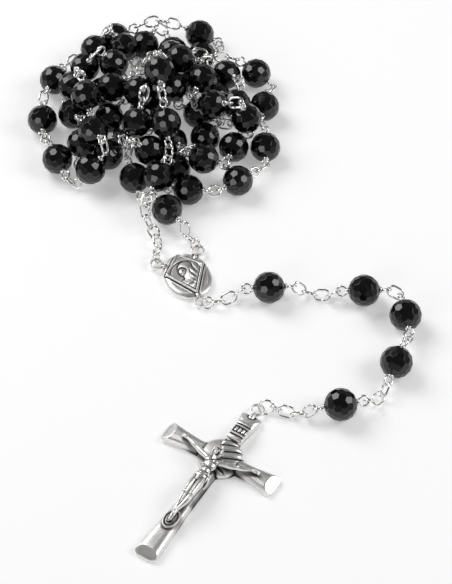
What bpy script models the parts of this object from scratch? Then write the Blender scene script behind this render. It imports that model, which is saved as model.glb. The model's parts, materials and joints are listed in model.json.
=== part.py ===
"""A five-decade rosary, laid on a table: the bead loop heaped up, the centre medal in front of it,
and the pendant chain led round to a crucifix.  Blender 4.5, metres, +Z up, +X right, +Y to the back.

Every bead sits on its own eye pin; pins are joined by oval wire links, with four links on each
side of an Our Father bead.  All lengths below are in millimetres and are scaled by MM.
"""
import math

import bmesh
import bpy
import numpy as np
from mathutils import Matrix, Vector

# ---------------------------------------------------------------- driving dimensions, mm
MM = 0.001
BEAD_R = 4.0            # 8 mm stone beads
BORE_R = 0.6            # hole through a bead
WIRE_R = 0.25           # half the thickness of the 0.5 mm wire
EYE_R = 1.2             # mean radius of a pin's eye loop
EYE_AT = 5.6            # eye loop centre from the bead's centre
LINK_L = 4.0            # oval link, mean length
LINK_W = 2.6            # oval link, mean width
JUMP_R = 1.5            # small jump ring, mean radius
BIG_JUMP_R = 1.8        # jump ring at the crucifix, mean radius
LOOP_R = 1.5            # loops on the medal and the crucifix, mean radius
LOOP_WIRE_R = 0.3       # half the thickness of those loops
PLAY = 0.45             # play between two hooked wires
MEDAL_AT = (-9.6, 4.4)  # centre of the medal
MEDAL_TURN = 23.0       # degrees, anticlockwise from upright
MEDAL_W, MEDAL_H, MEDAL_T = 11.6, 14.6, 2.2
MEDAL_LOOP_Z = 1.35     # height of the loops' middle above the table
MEDAL_LOOPS = ((-5.8, 6.4), (5.5, 6.4), (-0.2, -9.3))
CROSS_AT = (-1.3, -51.2)   # where the arms cross
CROSS_TURN = -32.5         # degrees
CROSS_UP, CROSS_DOWN, CROSS_ARM = 14.6, 32.0, 15.4
CROSS_T = 2.2              # thickness of the casting
CROSS_LOOP_Y = 16.2        # bail loop centre above the crossing
SCROLL_X, SCROLL_Y = 0.3, 8.0   # middle of the title scroll
SCROLL_W, SCROLL_L = 3.8, 5.8
DISC_R = 5.8               # disc behind the crossing
STRAND_R = 0.5             # wire envelope inside the heaped strands
ORIGIN = (-2.57, 6.64)     # middle of the footprint, taken off every point

# The loop as it is heaped, from the medal's left loop round to its right loop: x, y, height.
# F a fixed loop, J a jump ring, L a link, B a bead on its pin, O an Our Father bead on its pin.
# Where no links are listed between two beads they are filled in: one, or four beside an O.
HEAP = [
    ('F', 0, 0, 0), ('J', -17.6, 11.2, 1.4), ('L', -17.1, 13.6, 1.4), ('L', -17.3, 16.2, 1.6), ('L', -17.9, 18.6, 2.8),
    ('L', -18.1, 20.8, 5.2), ('L', -18.2, 23, 7.4), ('L', -17.6, 25.6, 8.4),
    ('B', -16.8, 31, 8.5), ('B', -17.5, 45, 14), ('B', -19.3, 63, 16), ('B', -13.9, 69, 12), ('B', -7.7, 62.5, 11),
    ('B', -4.8, 55, 12.3), ('B', 6.1, 50, 11.5), ('B', 1.8, 47.5, 4.2), ('B', -7.1, 36, 7.5), ('B', -14, 48.5, 4.2),
    ('O', -20.4, 38.5, 10.5),
    ('B', -28.5, 45, 4.2), ('B', -36.8, 47, 4.2), ('B', -34.5, 57, 12.5), ('B', -41.6, 67.5, 6.5), ('B', -43, 59.5, 4.2),
    ('B', -32, 43, 12), ('B', -33.2, 38, 4.2), ('B', -42.3, 41, 4.2), ('B', -48.7, 53.7, 4.2), ('B', -49.3, 69, 4.2),
    ('L', -47.4, 79.7, 1.4), ('L', -44.4, 83.7, 1.4), ('L', -40.4, 87.7, 1.4), ('L', -36.4, 91.8, 1.4),
    ('O', -29.5, 85, 8),
    ('B', -2.5, 85.4, 4.2), ('B', -10.7, 84.4, 4.2), ('B', -17.3, 79.5, 4.2), ('B', -21.7, 86.2, 4.2),
    ('B', -25.7, 79, 4.2), ('B', -33.3, 83, 4.2), ('B', -36, 75, 4.2), ('B', -28.1, 73, 9.4), ('B', -32, 67, 4.2),
    ('B', -27, 57.5, 9.3),
    ('O', -17.3, 76, 11.8),
    ('B', 7, 73, 4.2), ('B', 8.9, 60.6, 4.2), ('B', 9.7, 46, 4.2), ('B', 1.4, 35.5, 4.2), ('B', -9.7, 31, 4.2),
    ('B', -13.1, 40, 4.2), ('B', -6, 50, 4.2), ('B', 1.2, 61.5, 7), ('B', -0.9, 74, 6), ('B', -9.2, 75.5, 4.2),
    ('O', -14.7, 58.5, 11.6),
    ('B', -6.1, 68, 4.2), ('B', -11.5, 59.6, 4.2), ('B', -15, 67, 4.2), ('B', -21.2, 60.5, 4.2), ('B', -21.8, 51.6, 4.2),
    ('B', -33.5, 57.5, 4.2), ('B', -22.8, 64, 10.5), ('B', -24.8, 48, 9.5), ('B', -23.2, 37, 4.2),
    ('B', -16, 24.4, 4.2),
    ('L', -12, 17.8, 1.8), ('L', -9.8, 16, 1.4), ('J', -7.4, 14.6, 1.4), ('F', 0, 0, 0),
]
# The pendant, from the medal's foot loop to the crucifix.
PENDANT = [
    ('F', 0, 0, 0), ('J', -4.2, -6.4, 1.4), ('L', -2, -4.8, 1.4), ('L', 0.4, -2.6, 1.4), ('L', 2.4, -1.3, 1.6),
    ('B', 10.6, -2.2, 4),
    ('L', 19, 0, 1.4), ('L', 21.8, -1.8, 1.4), ('L', 24.6, -3.3, 1.4), ('L', 27.5, -1.8, 1.4),
    ('B', 34.9, -3.2, 4), ('L', 42, -3.4, 1.5), ('B', 43.9, -10.9, 4), ('L', 44.2, -17.6, 1.5), ('B', 41.1, -24.3, 4),
    ('L', 38.7, -31, 1.4), ('L', 37.9, -34.4, 1.4), ('L', 35.8, -37, 1.4),
    ('B', 26.5, -39.4, 4),
    ('L', 18.9, -39.5, 1.4), ('L', 16.2, -39.1, 1.4), ('L', 13.8, -38.1, 1.4), ('J', 11.9, -37.0, 1.6),
    ('J2', 9.35, -36.6, 1.9), ('F', 0, 0, 0),
]
HALF = {'F': LOOP_R, 'J': JUMP_R, 'J2': BIG_JUMP_R, 'L': LINK_L / 2}
PIN_REACH = 2 * (EYE_AT + EYE_R - WIRE_R - PLAY / 2)   # hook to hook along a pin


def turned(at, turn, x, y):
    """A point given in a turned piece's own frame."""
    c, s = math.cos(math.radians(turn)), math.sin(math.radians(turn))
    return at[0] + c * x - s * y, at[1] + s * x + c * y


def unit(v):
    n = math.sqrt(float(v[0]) ** 2 + float(v[1]) ** 2 + float(v[2]) ** 2)
    return np.array([v[0] / n, v[1] / n, v[2] / n])


def cross3(a, b):
    return np.array([a[1] * b[2] - a[2] * b[1], a[2] * b[0] - a[0] * b[2], a[0] * b[1] - a[1] * b[0]])


def fill_in(rows):
    """Add the links that are not listed between two beads."""
    out = []
    for i, row in enumerate(rows):
        out.append((row[0], np.array(row[1:4], float), True))
        if i + 1 < len(rows) and row[0] in 'BO' and rows[i + 1][0] in 'BO':
            n = 4 if 'O' in (row[0], rows[i + 1][0]) else 1
            for k in range(n):
                t = (k + 1) / (n + 1)
                p = np.array(row[1:4], float) * (1 - t) + np.array(rows[i + 1][1:4], float) * t
                out.append(('L', p, False))
    return out


def settle(rows, first, last, rounds=2000):
    """Let a strand find its lie.  The strand is a row of pieces hooked end to end, so it is held as
    the points where they hook.  Pins are stiff, rings reach no further than they can, nothing
    passes through anything else or through the table, and the rest is gravity and the places
    where the strand was laid.  first and last are the loops that hold its ends."""
    rows = fill_in(rows)[1:-1]
    n = len(rows)
    reach = [PIN_REACH if k in 'BO' else 2 * HALF[k] - 2 * WIRE_R - PLAY for k, p, q in rows]
    P = np.zeros((n + 1, 3))
    hold = LOOP_R - LOOP_WIRE_R - PLAY / 2
    P[0] = np.array(first) + unit(rows[0][1] - np.array(first)) * hold
    P[n] = np.array(last) + unit(rows[-1][1] - np.array(last)) * hold
    for i in range(1, n):
        a, b = rows[i - 1], rows[i]
        t = reach[i - 1] / (reach[i - 1] + reach[i])
        P[i] = a[1] * (1 - t) + b[1] * t
    W = np.ones(n + 1)
    W[0] = W[n] = 0.0
    ra, rb = np.arange(n), np.arange(1, n + 1)
    rl = np.array(reach)
    stiff = np.array([k in 'BO' for k, p, q in rows])
    bend = [i for i in range(n - 1) if not (stiff[i] and stiff[i + 1])]
    be = np.array(bend)
    bl = np.array([0.82 * (rl[i] + rl[i + 1]) for i in bend])
    # balls carried by the pieces: piece, share of its length, radius, least height
    B = []
    te = (PIN_REACH / 2 - EYE_AT) / PIN_REACH
    for i, (k, p, placed) in enumerate(rows):
        if k in 'BO':
            B += [(i, 0.5, BEAD_R + 0.14, BEAD_R), (i, te, 1.3, 1.75), (i, 1 - te, 1.3, 1.75)]
        else:
            B.append((i, 0.5, 1.9 if placed else 1.35, {'J': 1.56, 'J2': 1.85}.get(k, 1.36)))
    bi, bt = np.array([x[0] for x in B]), np.array([x[1] for x in B])
    br, bz = np.array([x[2] for x in B]), np.array([x[3] for x in B])
    iu, ju = np.triu_indices(len(B), 1)
    big = br > 3
    ok = (np.abs(bi[iu] - bi[ju]) > 1) | ((np.abs(bi[iu] - bi[ju]) == 1) & (big[iu] | big[ju]) & ~(big[iu] & big[ju]))
    iu, ju = iu[ok], ju[ok]
    need = np.where(~big[iu] & ~big[ju], 2.4, br[iu] + br[ju])
    need = np.where(np.abs(bi[iu] - bi[ju]) == 1, BEAD_R + 1.2, need)
    pl = [(i, p, 1.0 if k in 'BO' else 0.6) for i, (k, p, placed) in enumerate(rows) if placed]
    pi, pw = np.array([x[0] for x in pl]), np.array([x[1] for x in pl])
    ps = np.array([x[2] for x in pl])[:, None]

    def spread(idx, t, move):
        """Move points along pieces, each by moving the two hooks at the piece's ends."""
        D, cnt = np.zeros_like(P), np.zeros(n + 1)
        wa, wb = W[idx], W[idx + 1]
        k = np.maximum((1 - t) ** 2 * wa + t ** 2 * wb, 0.05)
        np.add.at(D, idx, move * ((1 - t) * wa / k)[:, None])
        np.add.at(D, idx + 1, move * (t * wb / k)[:, None])
        np.add.at(cnt, idx, 1.0)
        np.add.at(cnt, idx + 1, 1.0)
        return D, cnt

    for it in range(rounds):
        mid = (P[pi] + P[pi + 1]) / 2
        mv = (pw - mid) * (0.10 * (1 - it / rounds) + 0.008) * ps
        D, cnt = spread(pi, np.full(len(pi), 0.5), mv)
        P += D / np.maximum(cnt, 1)[:, None]
        P[:, 2] -= 0.02 * W
        for sub in range(2):
            Q = P[bi] * (1 - bt)[:, None] + P[bi + 1] * bt[:, None]
            d = Q[ju] - Q[iu]
            q = d[:, 0] ** 2 + d[:, 1] ** 2 + d[:, 2] ** 2
            hit = q < need ** 2
            if hit.any():
                a, b, dd = iu[hit], ju[hit], d[hit]
                L = np.sqrt(q[hit]) + 1e-9
                c = dd * ((need[hit] - L) / L)[:, None] * 0.5
                D0, c0 = spread(bi[a], bt[a], -c)
                D1, c1 = spread(bi[b], bt[b], c)
                P += (D0 + D1) / np.maximum((c0 + c1) * 0.5, 1)[:, None]
            Q = P[bi] * (1 - bt)[:, None] + P[bi + 1] * bt[:, None]
            deep = np.maximum(bz - Q[:, 2], 0)
            mv = np.zeros_like(Q)
            mv[:, 2] = deep
            D, cnt = spread(bi[deep > 0], bt[deep > 0], mv[deep > 0])
            P += D / np.maximum(cnt, 1)[:, None]
            d = P[be + 2] - P[be]
            L = np.sqrt(d[:, 0] ** 2 + d[:, 1] ** 2 + d[:, 2] ** 2) + 1e-9
            c = d * (np.minimum(L - bl, 0) / L / np.maximum(W[be] + W[be + 2], 0.1) * 0.5)[:, None]
            D = np.zeros_like(P)
            np.add.at(D, be, c * W[be][:, None])
            np.add.at(D, be + 2, -c * W[be + 2][:, None])
            P += D
            for again in range(3):
                d = P[rb] - P[ra]
                L = np.sqrt(d[:, 0] ** 2 + d[:, 1] ** 2 + d[:, 2] ** 2) + 1e-9
                e = L - rl
                e = np.where(~stiff & (e < 0), np.minimum(L - 0.6 * rl, 0), e)
                c = d * (e / L / np.maximum(W[ra] + W[rb], 0.1))[:, None]
                D = np.zeros_like(P)
                np.add.at(D, ra, c * W[ra][:, None])
                np.add.at(D, rb, -c * W[rb][:, None])
                P += D * 0.6
    P[1:-1, 2] += 0.04      # clear of the table
    out = [{'kind': 'F', 'at': np.array(first, float)}]
    for i, (k, p, placed) in enumerate(rows):
        ax = unit(P[i + 1] - P[i])
        el = {'kind': k, 'at': (P[i] + P[i + 1]) / 2, 'axis': ax, 'from': P[i].copy(), 'to': P[i + 1].copy()}
        if k in 'BO':
            el['e0'], el['e1'] = el['at'] - ax * EYE_AT, el['at'] + ax * EYE_AT
        out.append(el)
    out.append({'kind': 'F', 'at': np.array(last, float)})

    # planes of the loops: each stands across the one before it, leaning 45 degrees to the table
    def lean(a, side, tilt=45):
        up = np.array([0.0, 0.0, 1.0]) - a * a[2]
        up = unit(up) if abs(a[2]) < 0.97 else unit(np.array([1.0, 0.0, 0.0]) - a * a[0])
        flat = cross3(a, up)
        return unit(up * math.cos(math.radians(90 - tilt)) + flat * side * math.sin(math.radians(90 - tilt)))
    side = 1
    for el in out[1:-1]:
        if el['kind'] in 'BO':
            el['n0'] = lean(el['axis'], side)
            el['n1'] = lean(el['axis'], -side)
        else:
            el['n'] = lean(el['axis'], side, 30 if el['kind'] in ('J', 'J2') else 45)
            side = -side
            continue
    return out


# ---------------------------------------------------------------- Blender helpers
for ob in list(bpy.data.objects):
    bpy.data.objects.remove(ob, do_unlink=True)
PARTS = bpy.data.collections.new("Rosary")
bpy.context.scene.collection.children.link(PARTS)
CUTTERS = bpy.data.collections.new("Rosary_cutters")
bpy.context.scene.collection.children.link(CUTTERS)


def material(name, colour, rough, metal):
    m = bpy.data.materials.new(name)
    m.use_nodes = True
    b = m.node_tree.nodes["Principled BSDF"]
    b.inputs["Base Color"].default_value = (*colour, 1)
    b.inputs["Roughness"].default_value = rough
    b.inputs["Metallic"].default_value = metal
    return m


ONYX = ((0.006, 0.006, 0.007), 0.08, 0.0)
SILVER = ((0.86, 0.85, 0.82), 0.16, 1.0)
CAST = ((0.52, 0.51, 0.48), 0.3, 1.0)


def frame(at, x, z):
    """Placement with local X along x and local Z along z."""
    x, z = unit(x), unit(z)
    y = cross3(z, x)
    p = [(at[0] - ORIGIN[0]) * MM, (at[1] - ORIGIN[1]) * MM, at[2] * MM]
    return Matrix(((x[0], y[0], z[0], p[0]), (x[1], y[1], z[1], p[1]), (x[2], y[2], z[2], p[2]), (0, 0, 0, 1)))


def across(d):
    """Any direction square to d."""
    k = int(np.argmin(np.abs(d)))
    e = np.zeros(3); e[k] = 1.0
    return unit(cross3(d, e))


def wire(name, points, radius, cyclic, place, look, sides=1):
    cu = bpy.data.curves.new(name, 'CURVE')
    cu.dimensions = '3D'
    cu.bevel_depth = radius * MM
    cu.bevel_resolution = sides
    cu.use_fill_caps = not cyclic
    sp = cu.splines.new('POLY')
    sp.points.add(len(points) - 1)
    for q, p in zip(sp.points, points):
        q.co = (p[0] * MM, p[1] * MM, p[2] * MM, 1)
    sp.use_cyclic_u = cyclic
    ob = bpy.data.objects.new(name, cu)
    PARTS.objects.link(ob)
    ob.matrix_world = place
    cu.materials.append(material(name + "_mat", *look))
    return ob


def oval(length, width, n=4):
    """Centre line of an oval link: two half circles joined by straights."""
    r, s = width / 2, (length - width) / 2
    pts = []
    for side in (1, -1):
        for k in range(n + 1):
            a = math.radians(-90 + 180 * k / n)
            pts.append((side * (s + r * math.cos(a)), side * r * math.sin(a), 0.0))
    return pts


def ring(name, el):
    if el['kind'] == 'L':
        pts = oval(LINK_L, LINK_W)
    else:
        r = HALF[el['kind']]
        pts = [(r * math.cos(2 * math.pi * k / 12), r * math.sin(2 * math.pi * k / 12), 0) for k in range(12)]
    return wire(name, pts, WIRE_R, True, frame(el['at'], el['axis'], el['n']), SILVER)


def pin(name, el):
    """One wire: through the bead, with an open eye turned at each end."""
    def eye(nrm, sign):
        # in the pin's own frame: X along the pin, the eye's plane holds X and a side direction
        side = cross3(nrm, el['axis'])
        ys, zs = float(np.sum(side * ay)), float(np.sum(side * az))
        out = []
        for k in range(9):
            a = math.radians(180 - 38.0 * k)
            out.append((sign * (EYE_AT + EYE_R * math.cos(a)), EYE_R * math.sin(a) * ys, EYE_R * math.sin(a) * zs))
        return out
    az = across(el['axis'])
    ay = cross3(az, el['axis'])
    one, two = eye(el['n0'], -1), eye(el['n1'], 1)
    pts = one[::-1] + [(-3.0, 0, 0), (3.0, 0, 0)] + two
    return wire(name, pts, WIRE_R, False, frame(el['at'], el['axis'], az), SILVER)


def bead(name, el, steps=12):
    """A bored round bead, turned about its hole."""
    a0 = math.asin(BORE_R / BEAD_R)
    prof = [(BORE_R, BEAD_R * math.cos(a0))]
    for k in range(1, 6):
        a = a0 + (math.pi - 2 * a0) * k / 6
        prof.append((BEAD_R * math.sin(a), BEAD_R * math.cos(a)))
    prof.append((BORE_R, -BEAD_R * math.cos(a0)))
    bm = bmesh.new()
    vs = [bm.verts.new((x * MM, 0, z * MM)) for x, z in prof]
    for i in range(len(vs)):
        bm.edges.new((vs[i], vs[(i + 1) % len(vs)]))
    me = bpy.data.meshes.new(name)
    bm.to_mesh(me); bm.free()
    ob = bpy.data.objects.new(name, me)
    PARTS.objects.link(ob)
    ob.matrix_world = frame(el['at'], across(el['axis']), el['axis'])
    sc = ob.modifiers.new("turn", 'SCREW')
    sc.axis = 'Z'
    sc.angle = 2 * math.pi
    sc.steps = sc.render_steps = steps
    sc.use_merge_vertices = True
    sc.merge_threshold = 0.00001
    me.materials.append(material(name + "_mat", *ONYX))
    return ob


def solid(name, bm, look, place=None, union=True):
    """Mesh object from overlapping closed shapes, made one body by a Boolean union."""
    me = bpy.data.meshes.new(name)
    bmesh.ops.recalc_face_normals(bm, faces=bm.faces[:])
    bm.to_mesh(me); bm.free()
    ob = bpy.data.objects.new(name, me)
    PARTS.objects.link(ob)
    if place is not None:
        ob.matrix_world = place
    me.materials.append(material(name + "_mat", *look))
    if union:
        dot = bmesh.new()
        bmesh.ops.create_cube(dot, size=0.3 * MM)
        dm = bpy.data.meshes.new(name + "_core")
        dot.to_mesh(dm); dot.free()
        core = bpy.data.objects.new(name + "_core", dm)
        CUTTERS.objects.link(core)
        core.matrix_world = ob.matrix_world @ Matrix.Translation(Vector(me["core"]) if "core" in me else Vector((0, 0, 0)))
        core.hide_render = True
        core.display_type = 'WIRE'
        bo = ob.modifiers.new("join", 'BOOLEAN')
        bo.operation = 'UNION'
        bo.solver = 'EXACT'
        bo.use_self = True
        bo.object = core
    return ob


def rod(bm, a, b, r, sides=5, r2=None, grow=0.0):
    a, b = np.array(a, float), np.array(b, float)
    d = unit(b - a)
    L = math.sqrt(float(np.sum((b - a) ** 2))) + 2 * grow
    z, x = d, across(d)
    y = cross3(z, x)
    c = (a + b) / 2
    m = Matrix(((x[0], y[0], z[0], c[0] * MM), (x[1], y[1], z[1], c[1] * MM), (x[2], y[2], z[2], c[2] * MM), (0, 0, 0, 1)))
    bmesh.ops.create_cone(bm, cap_ends=True, segments=sides, radius1=r * MM, radius2=(r2 if r2 is not None else r) * MM,
                          depth=L * MM, matrix=m)


def ball(bm, c, r, u=7, v=6, squash=(1, 1, 1)):
    m = Matrix.Translation((c[0] * MM, c[1] * MM, c[2] * MM)) @ Matrix.Diagonal((*squash, 1))
    bmesh.ops.create_uvsphere(bm, u_segments=u, v_segments=v, radius=r * MM, matrix=m)


def shifted(p):
    return (p[0] - ORIGIN[0], p[1] - ORIGIN[1], p[2])


# ---------------------------------------------------------------- where everything lies
def medal_loop(k):
    x, y = turned(MEDAL_AT, MEDAL_TURN, *MEDAL_LOOPS[k])
    return (x, y, MEDAL_LOOP_Z)


bail = (*turned(CROSS_AT, CROSS_TURN, 0, CROSS_LOOP_Y), MEDAL_LOOP_Z)
heap = settle(HEAP, medal_loop(0), medal_loop(1))
pend = settle(PENDANT, medal_loop(2), bail)

# ---------------------------------------------------------------- pendant chain, piece by piece
names = iter(['medal_foot_ring', 'medal_link_1', 'medal_link_2', 'medal_link_3', 'our_father_upper',
              'upper_link_1', 'upper_link_2', 'upper_link_3', 'upper_link_4', 'hail_mary_1', 'middle_link_1',
              'hail_mary_2', 'middle_link_2', 'hail_mary_3', 'lower_link_1', 'lower_link_2', 'lower_link_3',
              'our_father_lower', 'cross_link_1', 'cross_link_2', 'cross_link_3', 'cross_jump_ring_small',
              'cross_jump_ring_large'])
for el in pend:
    if el['kind'] == 'F':
        continue
    n = next(names)
    el['name'] = n
    if el['kind'] in 'BO':
        bead(n + '_bead', el)
        pin(n + '_pin', el)
    else:
        ring(n, el)

# ---------------------------------------------------------------- the strands up to the medal
first = next(i for i, el in enumerate(heap) if el['kind'] in 'BO')
last = max(i for i, el in enumerate(heap) if el['kind'] in 'BO')
for k, el in enumerate(heap[1:first]):
    ring('left_jump_ring' if el['kind'] == 'J' else 'left_link_%d' % k, el)
for k, el in enumerate(heap[last + 1:-1]):
    ring('right_jump_ring' if el['kind'] == 'J' else 'right_link_%d' % (k + 1), el)
bead('last_bead', heap[last])
pin('last_bead_pin', heap[last])

# ---------------------------------------------------------------- the heaped strands
beads = [i for i, el in enumerate(heap) if el['kind'] in 'BO']
fathers = [i for i in beads if heap[i]['kind'] == 'O']
cuts = [beads[0]] + fathers + [beads[-1]]


def strand_path(i0, i1):
    """Points of the wire from one bead's centre to another's, by the eyes and links between."""
    pts = [heap[i0]['at'], heap[i0]['to']]
    for j in range(i0 + 1, i1):
        pts.append(heap[j]['to'])
    return pts + [heap[i1]['at']]


for d in range(5):
    ids = [i for i in beads if cuts[d] <= i <= cuts[d + 1] and heap[i]['kind'] == 'B' and i != beads[-1]]
    bm = bmesh.new()
    for i in ids:
        ball(bm, shifted(heap[i]['at']), BEAD_R)
    for a, b in zip(ids, ids[1:]):
        pts = [shifted(p) for p in strand_path(a, b)]
        for p, q in zip(pts, pts[1:]):
            rod(bm, p, q, STRAND_R, 4, grow=0.2)
    # the open eye at each end of the strand
    rod(bm, shifted(heap[ids[0]]['at']), shifted(heap[ids[0]]['e0'] + heap[ids[0]]['axis'] * 0.2), STRAND_R, 4)
    rod(bm, shifted(heap[ids[-1]]['at']), shifted(heap[ids[-1]]['e1'] - heap[ids[-1]]['axis'] * 0.2), STRAND_R, 4)
    ob = solid('decade_%d' % (d + 1), bm, ONYX)
    bpy.data.objects['decade_%d_core' % (d + 1)].location = [c * MM for c in shifted(heap[ids[0]]['at'])]

for k, i in enumerate(fathers):
    bead('our_father_%d_bead' % (k + 1), heap[i])
    prev = max(j for j in beads if j < i)
    nxt = min(j for j in beads if j > i)
    pts = [heap[prev]['to'] * 0.2 + heap[prev + 1]['to'] * 0.8]
    pts += [heap[j]['to'] for j in range(prev + 2, i + 1)]
    pts += [heap[j]['to'] for j in range(i + 1, nxt - 1)] + [heap[nxt]['from'] * 0.2 + heap[nxt - 1]['from'] * 0.8]
    bm = bmesh.new()
    pts = [shifted(p) for p in pts]
    for p, q in zip(pts, pts[1:]):
        pinned = math.dist(p, q) > 9
        rod(bm, p, q, WIRE_R if pinned else STRAND_R, 5, grow=0.2)
    ob = solid('our_father_%d_chain' % (k + 1), bm, SILVER)
    bpy.data.objects['our_father_%d_chain_core' % (k + 1)].location = [c * MM for c in pts[0]]

# ---------------------------------------------------------------- medal
def flat_outline(bm, pts, z0, z1, inset=0.0, rise=0.0):
    """Prism over an outline, with the top edge drawn in by a factor and raised for a soft edge."""
    n = len(pts)
    rings = [(1.0, z0), (1.0, z1)]
    if inset:
        rings.append((1.0 - inset, z1 + rise))
    vs = [[bm.verts.new((x * f * MM, y * f * MM, z * MM)) for x, y in pts] for f, z in rings]
    for lo, hi in zip(vs, vs[1:]):
        for k in range(n):
            bm.faces.new((lo[k], lo[(k + 1) % n], hi[(k + 1) % n], hi[k]))
    bm.faces.new(vs[-1])
    bm.faces.new(vs[0][::-1])


def torus(bm, c, R, r, n=12, m=5, squash=1.0):
    vs = [[bm.verts.new(((c[0] + (R + r * math.cos(b)) * math.cos(a)) * MM, (c[1] + (R + r * math.cos(b)) * math.sin(a)) * MM,
                         (c[2] + r * math.sin(b)) * MM))
           for b in [2 * math.pi * j / m for j in range(m)]] for a in [2 * math.pi * i / n + 0.13 for i in range(n)]]
    for i in range(n):
        for j in range(m):
            bm.faces.new((vs[i][j], vs[(i + 1) % n][j], vs[(i + 1) % n][(j + 1) % m], vs[i][(j + 1) % m]))


def medal_outline(n=20, w=MEDAL_W, h=MEDAL_H):
    """A soft lozenge: a superellipse a little squarer than an oval."""
    pts = []
    for k in range(n):
        a = 2 * math.pi * k / n
        c, s = math.cos(a), math.sin(a)
        pts.append((w / 2 * math.copysign(abs(c) ** 0.9, c), h / 2 * math.copysign(abs(s) ** 0.9, s)))
    return pts


def rot_place(at, turn):
    return Matrix.Translation(((at[0] - ORIGIN[0]) * MM, (at[1] - ORIGIN[1]) * MM, 0)) @ Matrix.Rotation(math.radians(turn), 4, 'Z')


bm = bmesh.new()
flat_outline(bm, medal_outline(), 0.0, MEDAL_T - 0.5, 0.1, 0.5)
for x, y in MEDAL_LOOPS:
    torus(bm, (x, y, MEDAL_LOOP_Z), LOOP_R, LOOP_WIRE_R)
    rod(bm, (x * 0.5, y * 0.5, MEDAL_LOOP_Z), (x * (1 - LOOP_R / math.hypot(x, y)), y * (1 - LOOP_R / math.hypot(x, y)), MEDAL_LOOP_Z), 0.55, 6)
solid('medal', bm, CAST, rot_place(MEDAL_AT, MEDAL_TURN))
bpy.data.objects['medal_core'].location.z = 0.6 * MM

# ---------------------------------------------------------------- crucifix
def arm_outline(tip, w0, w1, flare):
    """Half outline of one arm along +Y: from the crossing out to a pointed, flared end."""
    return [(w0 / 2, w0 / 2), (w0 / 2 * 0.92, tip * 0.5), (w0 / 2 * 1.02, tip - flare - 2.2), (w1 / 2, tip - flare), (w1 / 2 - 0.7, tip - 0.7)]


def cross_outline():
    pts = []
    for turn, tip in ((0, CROSS_UP), (90, CROSS_ARM), (180, CROSS_DOWN), (270, CROSS_ARM)):
        half = arm_outline(tip, 4.3, 5.7, 1.6)
        full = [(x, y) for x, y in half] + [(0.0, tip)] + [(-x, y) for x, y in half[::-1]]
        c, s = math.cos(math.radians(turn)), math.sin(math.radians(turn))
        pts += [(c * x - s * y, s * x + c * y) for x, y in full[:-1]]
    return pts


bm = bmesh.new()
out = cross_outline()
n = len(out)
def inset(pts, d):
    """Outline drawn in by d, corner by corner."""
    res = []
    for i, (x, y) in enumerate(pts):
        (x0, y0), (x1, y1) = pts[i - 1], pts[(i + 1) % len(pts)]
        a = unit((x - x0, y - y0, 0)); b = unit((x1 - x, y1 - y, 0))
        nx, ny = -(a[1] + b[1]), (a[0] + b[0])
        k = d / max(0.35, (nx * nx + ny * ny) / 2)
        res.append((x + nx * k, y + ny * k))
    return res
layers = [(out, 0.0), (out, 1.2), (inset(out, 0.7), CROSS_T)]
vs = [[bm.verts.new((x * MM, y * MM, z * MM)) for x, y in pts] for pts, z in layers]
for lo, hi in zip(vs, vs[1:]):
    for k in range(n):
        bm.faces.new((lo[k], lo[(k + 1) % n], hi[(k + 1) % n], hi[k]))
bm.faces.new(vs[-1]); bm.faces.new(vs[0][::-1])
bmesh.ops.create_cone(bm, cap_ends=True, segments=24, radius1=DISC_R * MM, radius2=(DISC_R - 0.4) * MM, depth=1.5 * MM,
                      matrix=Matrix.Translation((0, 0, 0.85 * MM)))
torus(bm, (0, CROSS_LOOP_Y, MEDAL_LOOP_Z), LOOP_R, LOOP_WIRE_R)
rod(bm, (0, CROSS_UP - 1.5, MEDAL_LOOP_Z), (0, CROSS_LOOP_Y - LOOP_R - 0.05, MEDAL_LOOP_Z), 0.6, 6)
solid('crucifix_cross', bm, CAST, rot_place(CROSS_AT, CROSS_TURN))
bpy.data.objects['crucifix_cross_core'].location.z = 0.5 * MM

Z0 = CROSS_T + 0.3
bm = bmesh.new()
ball(bm, (-0.1, -0.9, Z0 + 2.1), 1.3, 10, 8)                            # head
rod(bm, (-0.1, -1.6, Z0 + 1.8), (0, -3.0, Z0 + 1.4), 0.6, 6)             # neck
rod(bm, (0, -2.8, Z0 + 1.35), (0, -7.6, Z0 + 1.3), 1.3, 8, 1.15)         # trunk
for s in (-1, 1):
    rod(bm, (s * 0.9, -3.1, Z0 + 1.2), (s * 5.6, -1.6, Z0 + 0.95), 0.64, 6, 0.5)
    rod(bm, (s * 5.3, -1.75, Z0 + 0.95), (s * 9.9, 0.0, Z0 + 0.7), 0.52, 6, 0.4)
rod(bm, (0, -7.2, Z0 + 1.45), (0.05, -10.0, Z0 + 1.55), 1.38, 8, 1.5)    # waist cloth
rod(bm, (0.8, -9.0, Z0 + 1.3), (1.2, -14.2, Z0 + 2.15), 0.95, 7, 0.68)   # thighs
rod(bm, (-0.7, -9.0, Z0 + 1.3), (-0.55, -14.2, Z0 + 2.0), 0.93, 7, 0.66)
rod(bm, (1.2, -13.8, Z0 + 2.05), (0.42, -19.2, Z0 + 1.35), 0.68, 7, 0.42)  # shins
rod(bm, (-0.55, -13.8, Z0 + 1.9), (0.0, -19.2, Z0 + 0.95), 0.66, 7, 0.42)
rod(bm, (0.15, -18.6, Z0 + 1.05), (0.2, -21.6, Z0 + 0.9), 0.62, 7, 0.55) # feet, one over the other
ball(bm, (0.2, -20.9, Z0 + 0.5), 1.0, 14, 6, (1.62, 2.35, 0.4))          # oval boss under them
solid('corpus', bm, CAST, rot_place(CROSS_AT, CROSS_TURN))
bpy.data.objects['corpus_core'].location.z = (Z0 + 1.2) * MM

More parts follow.
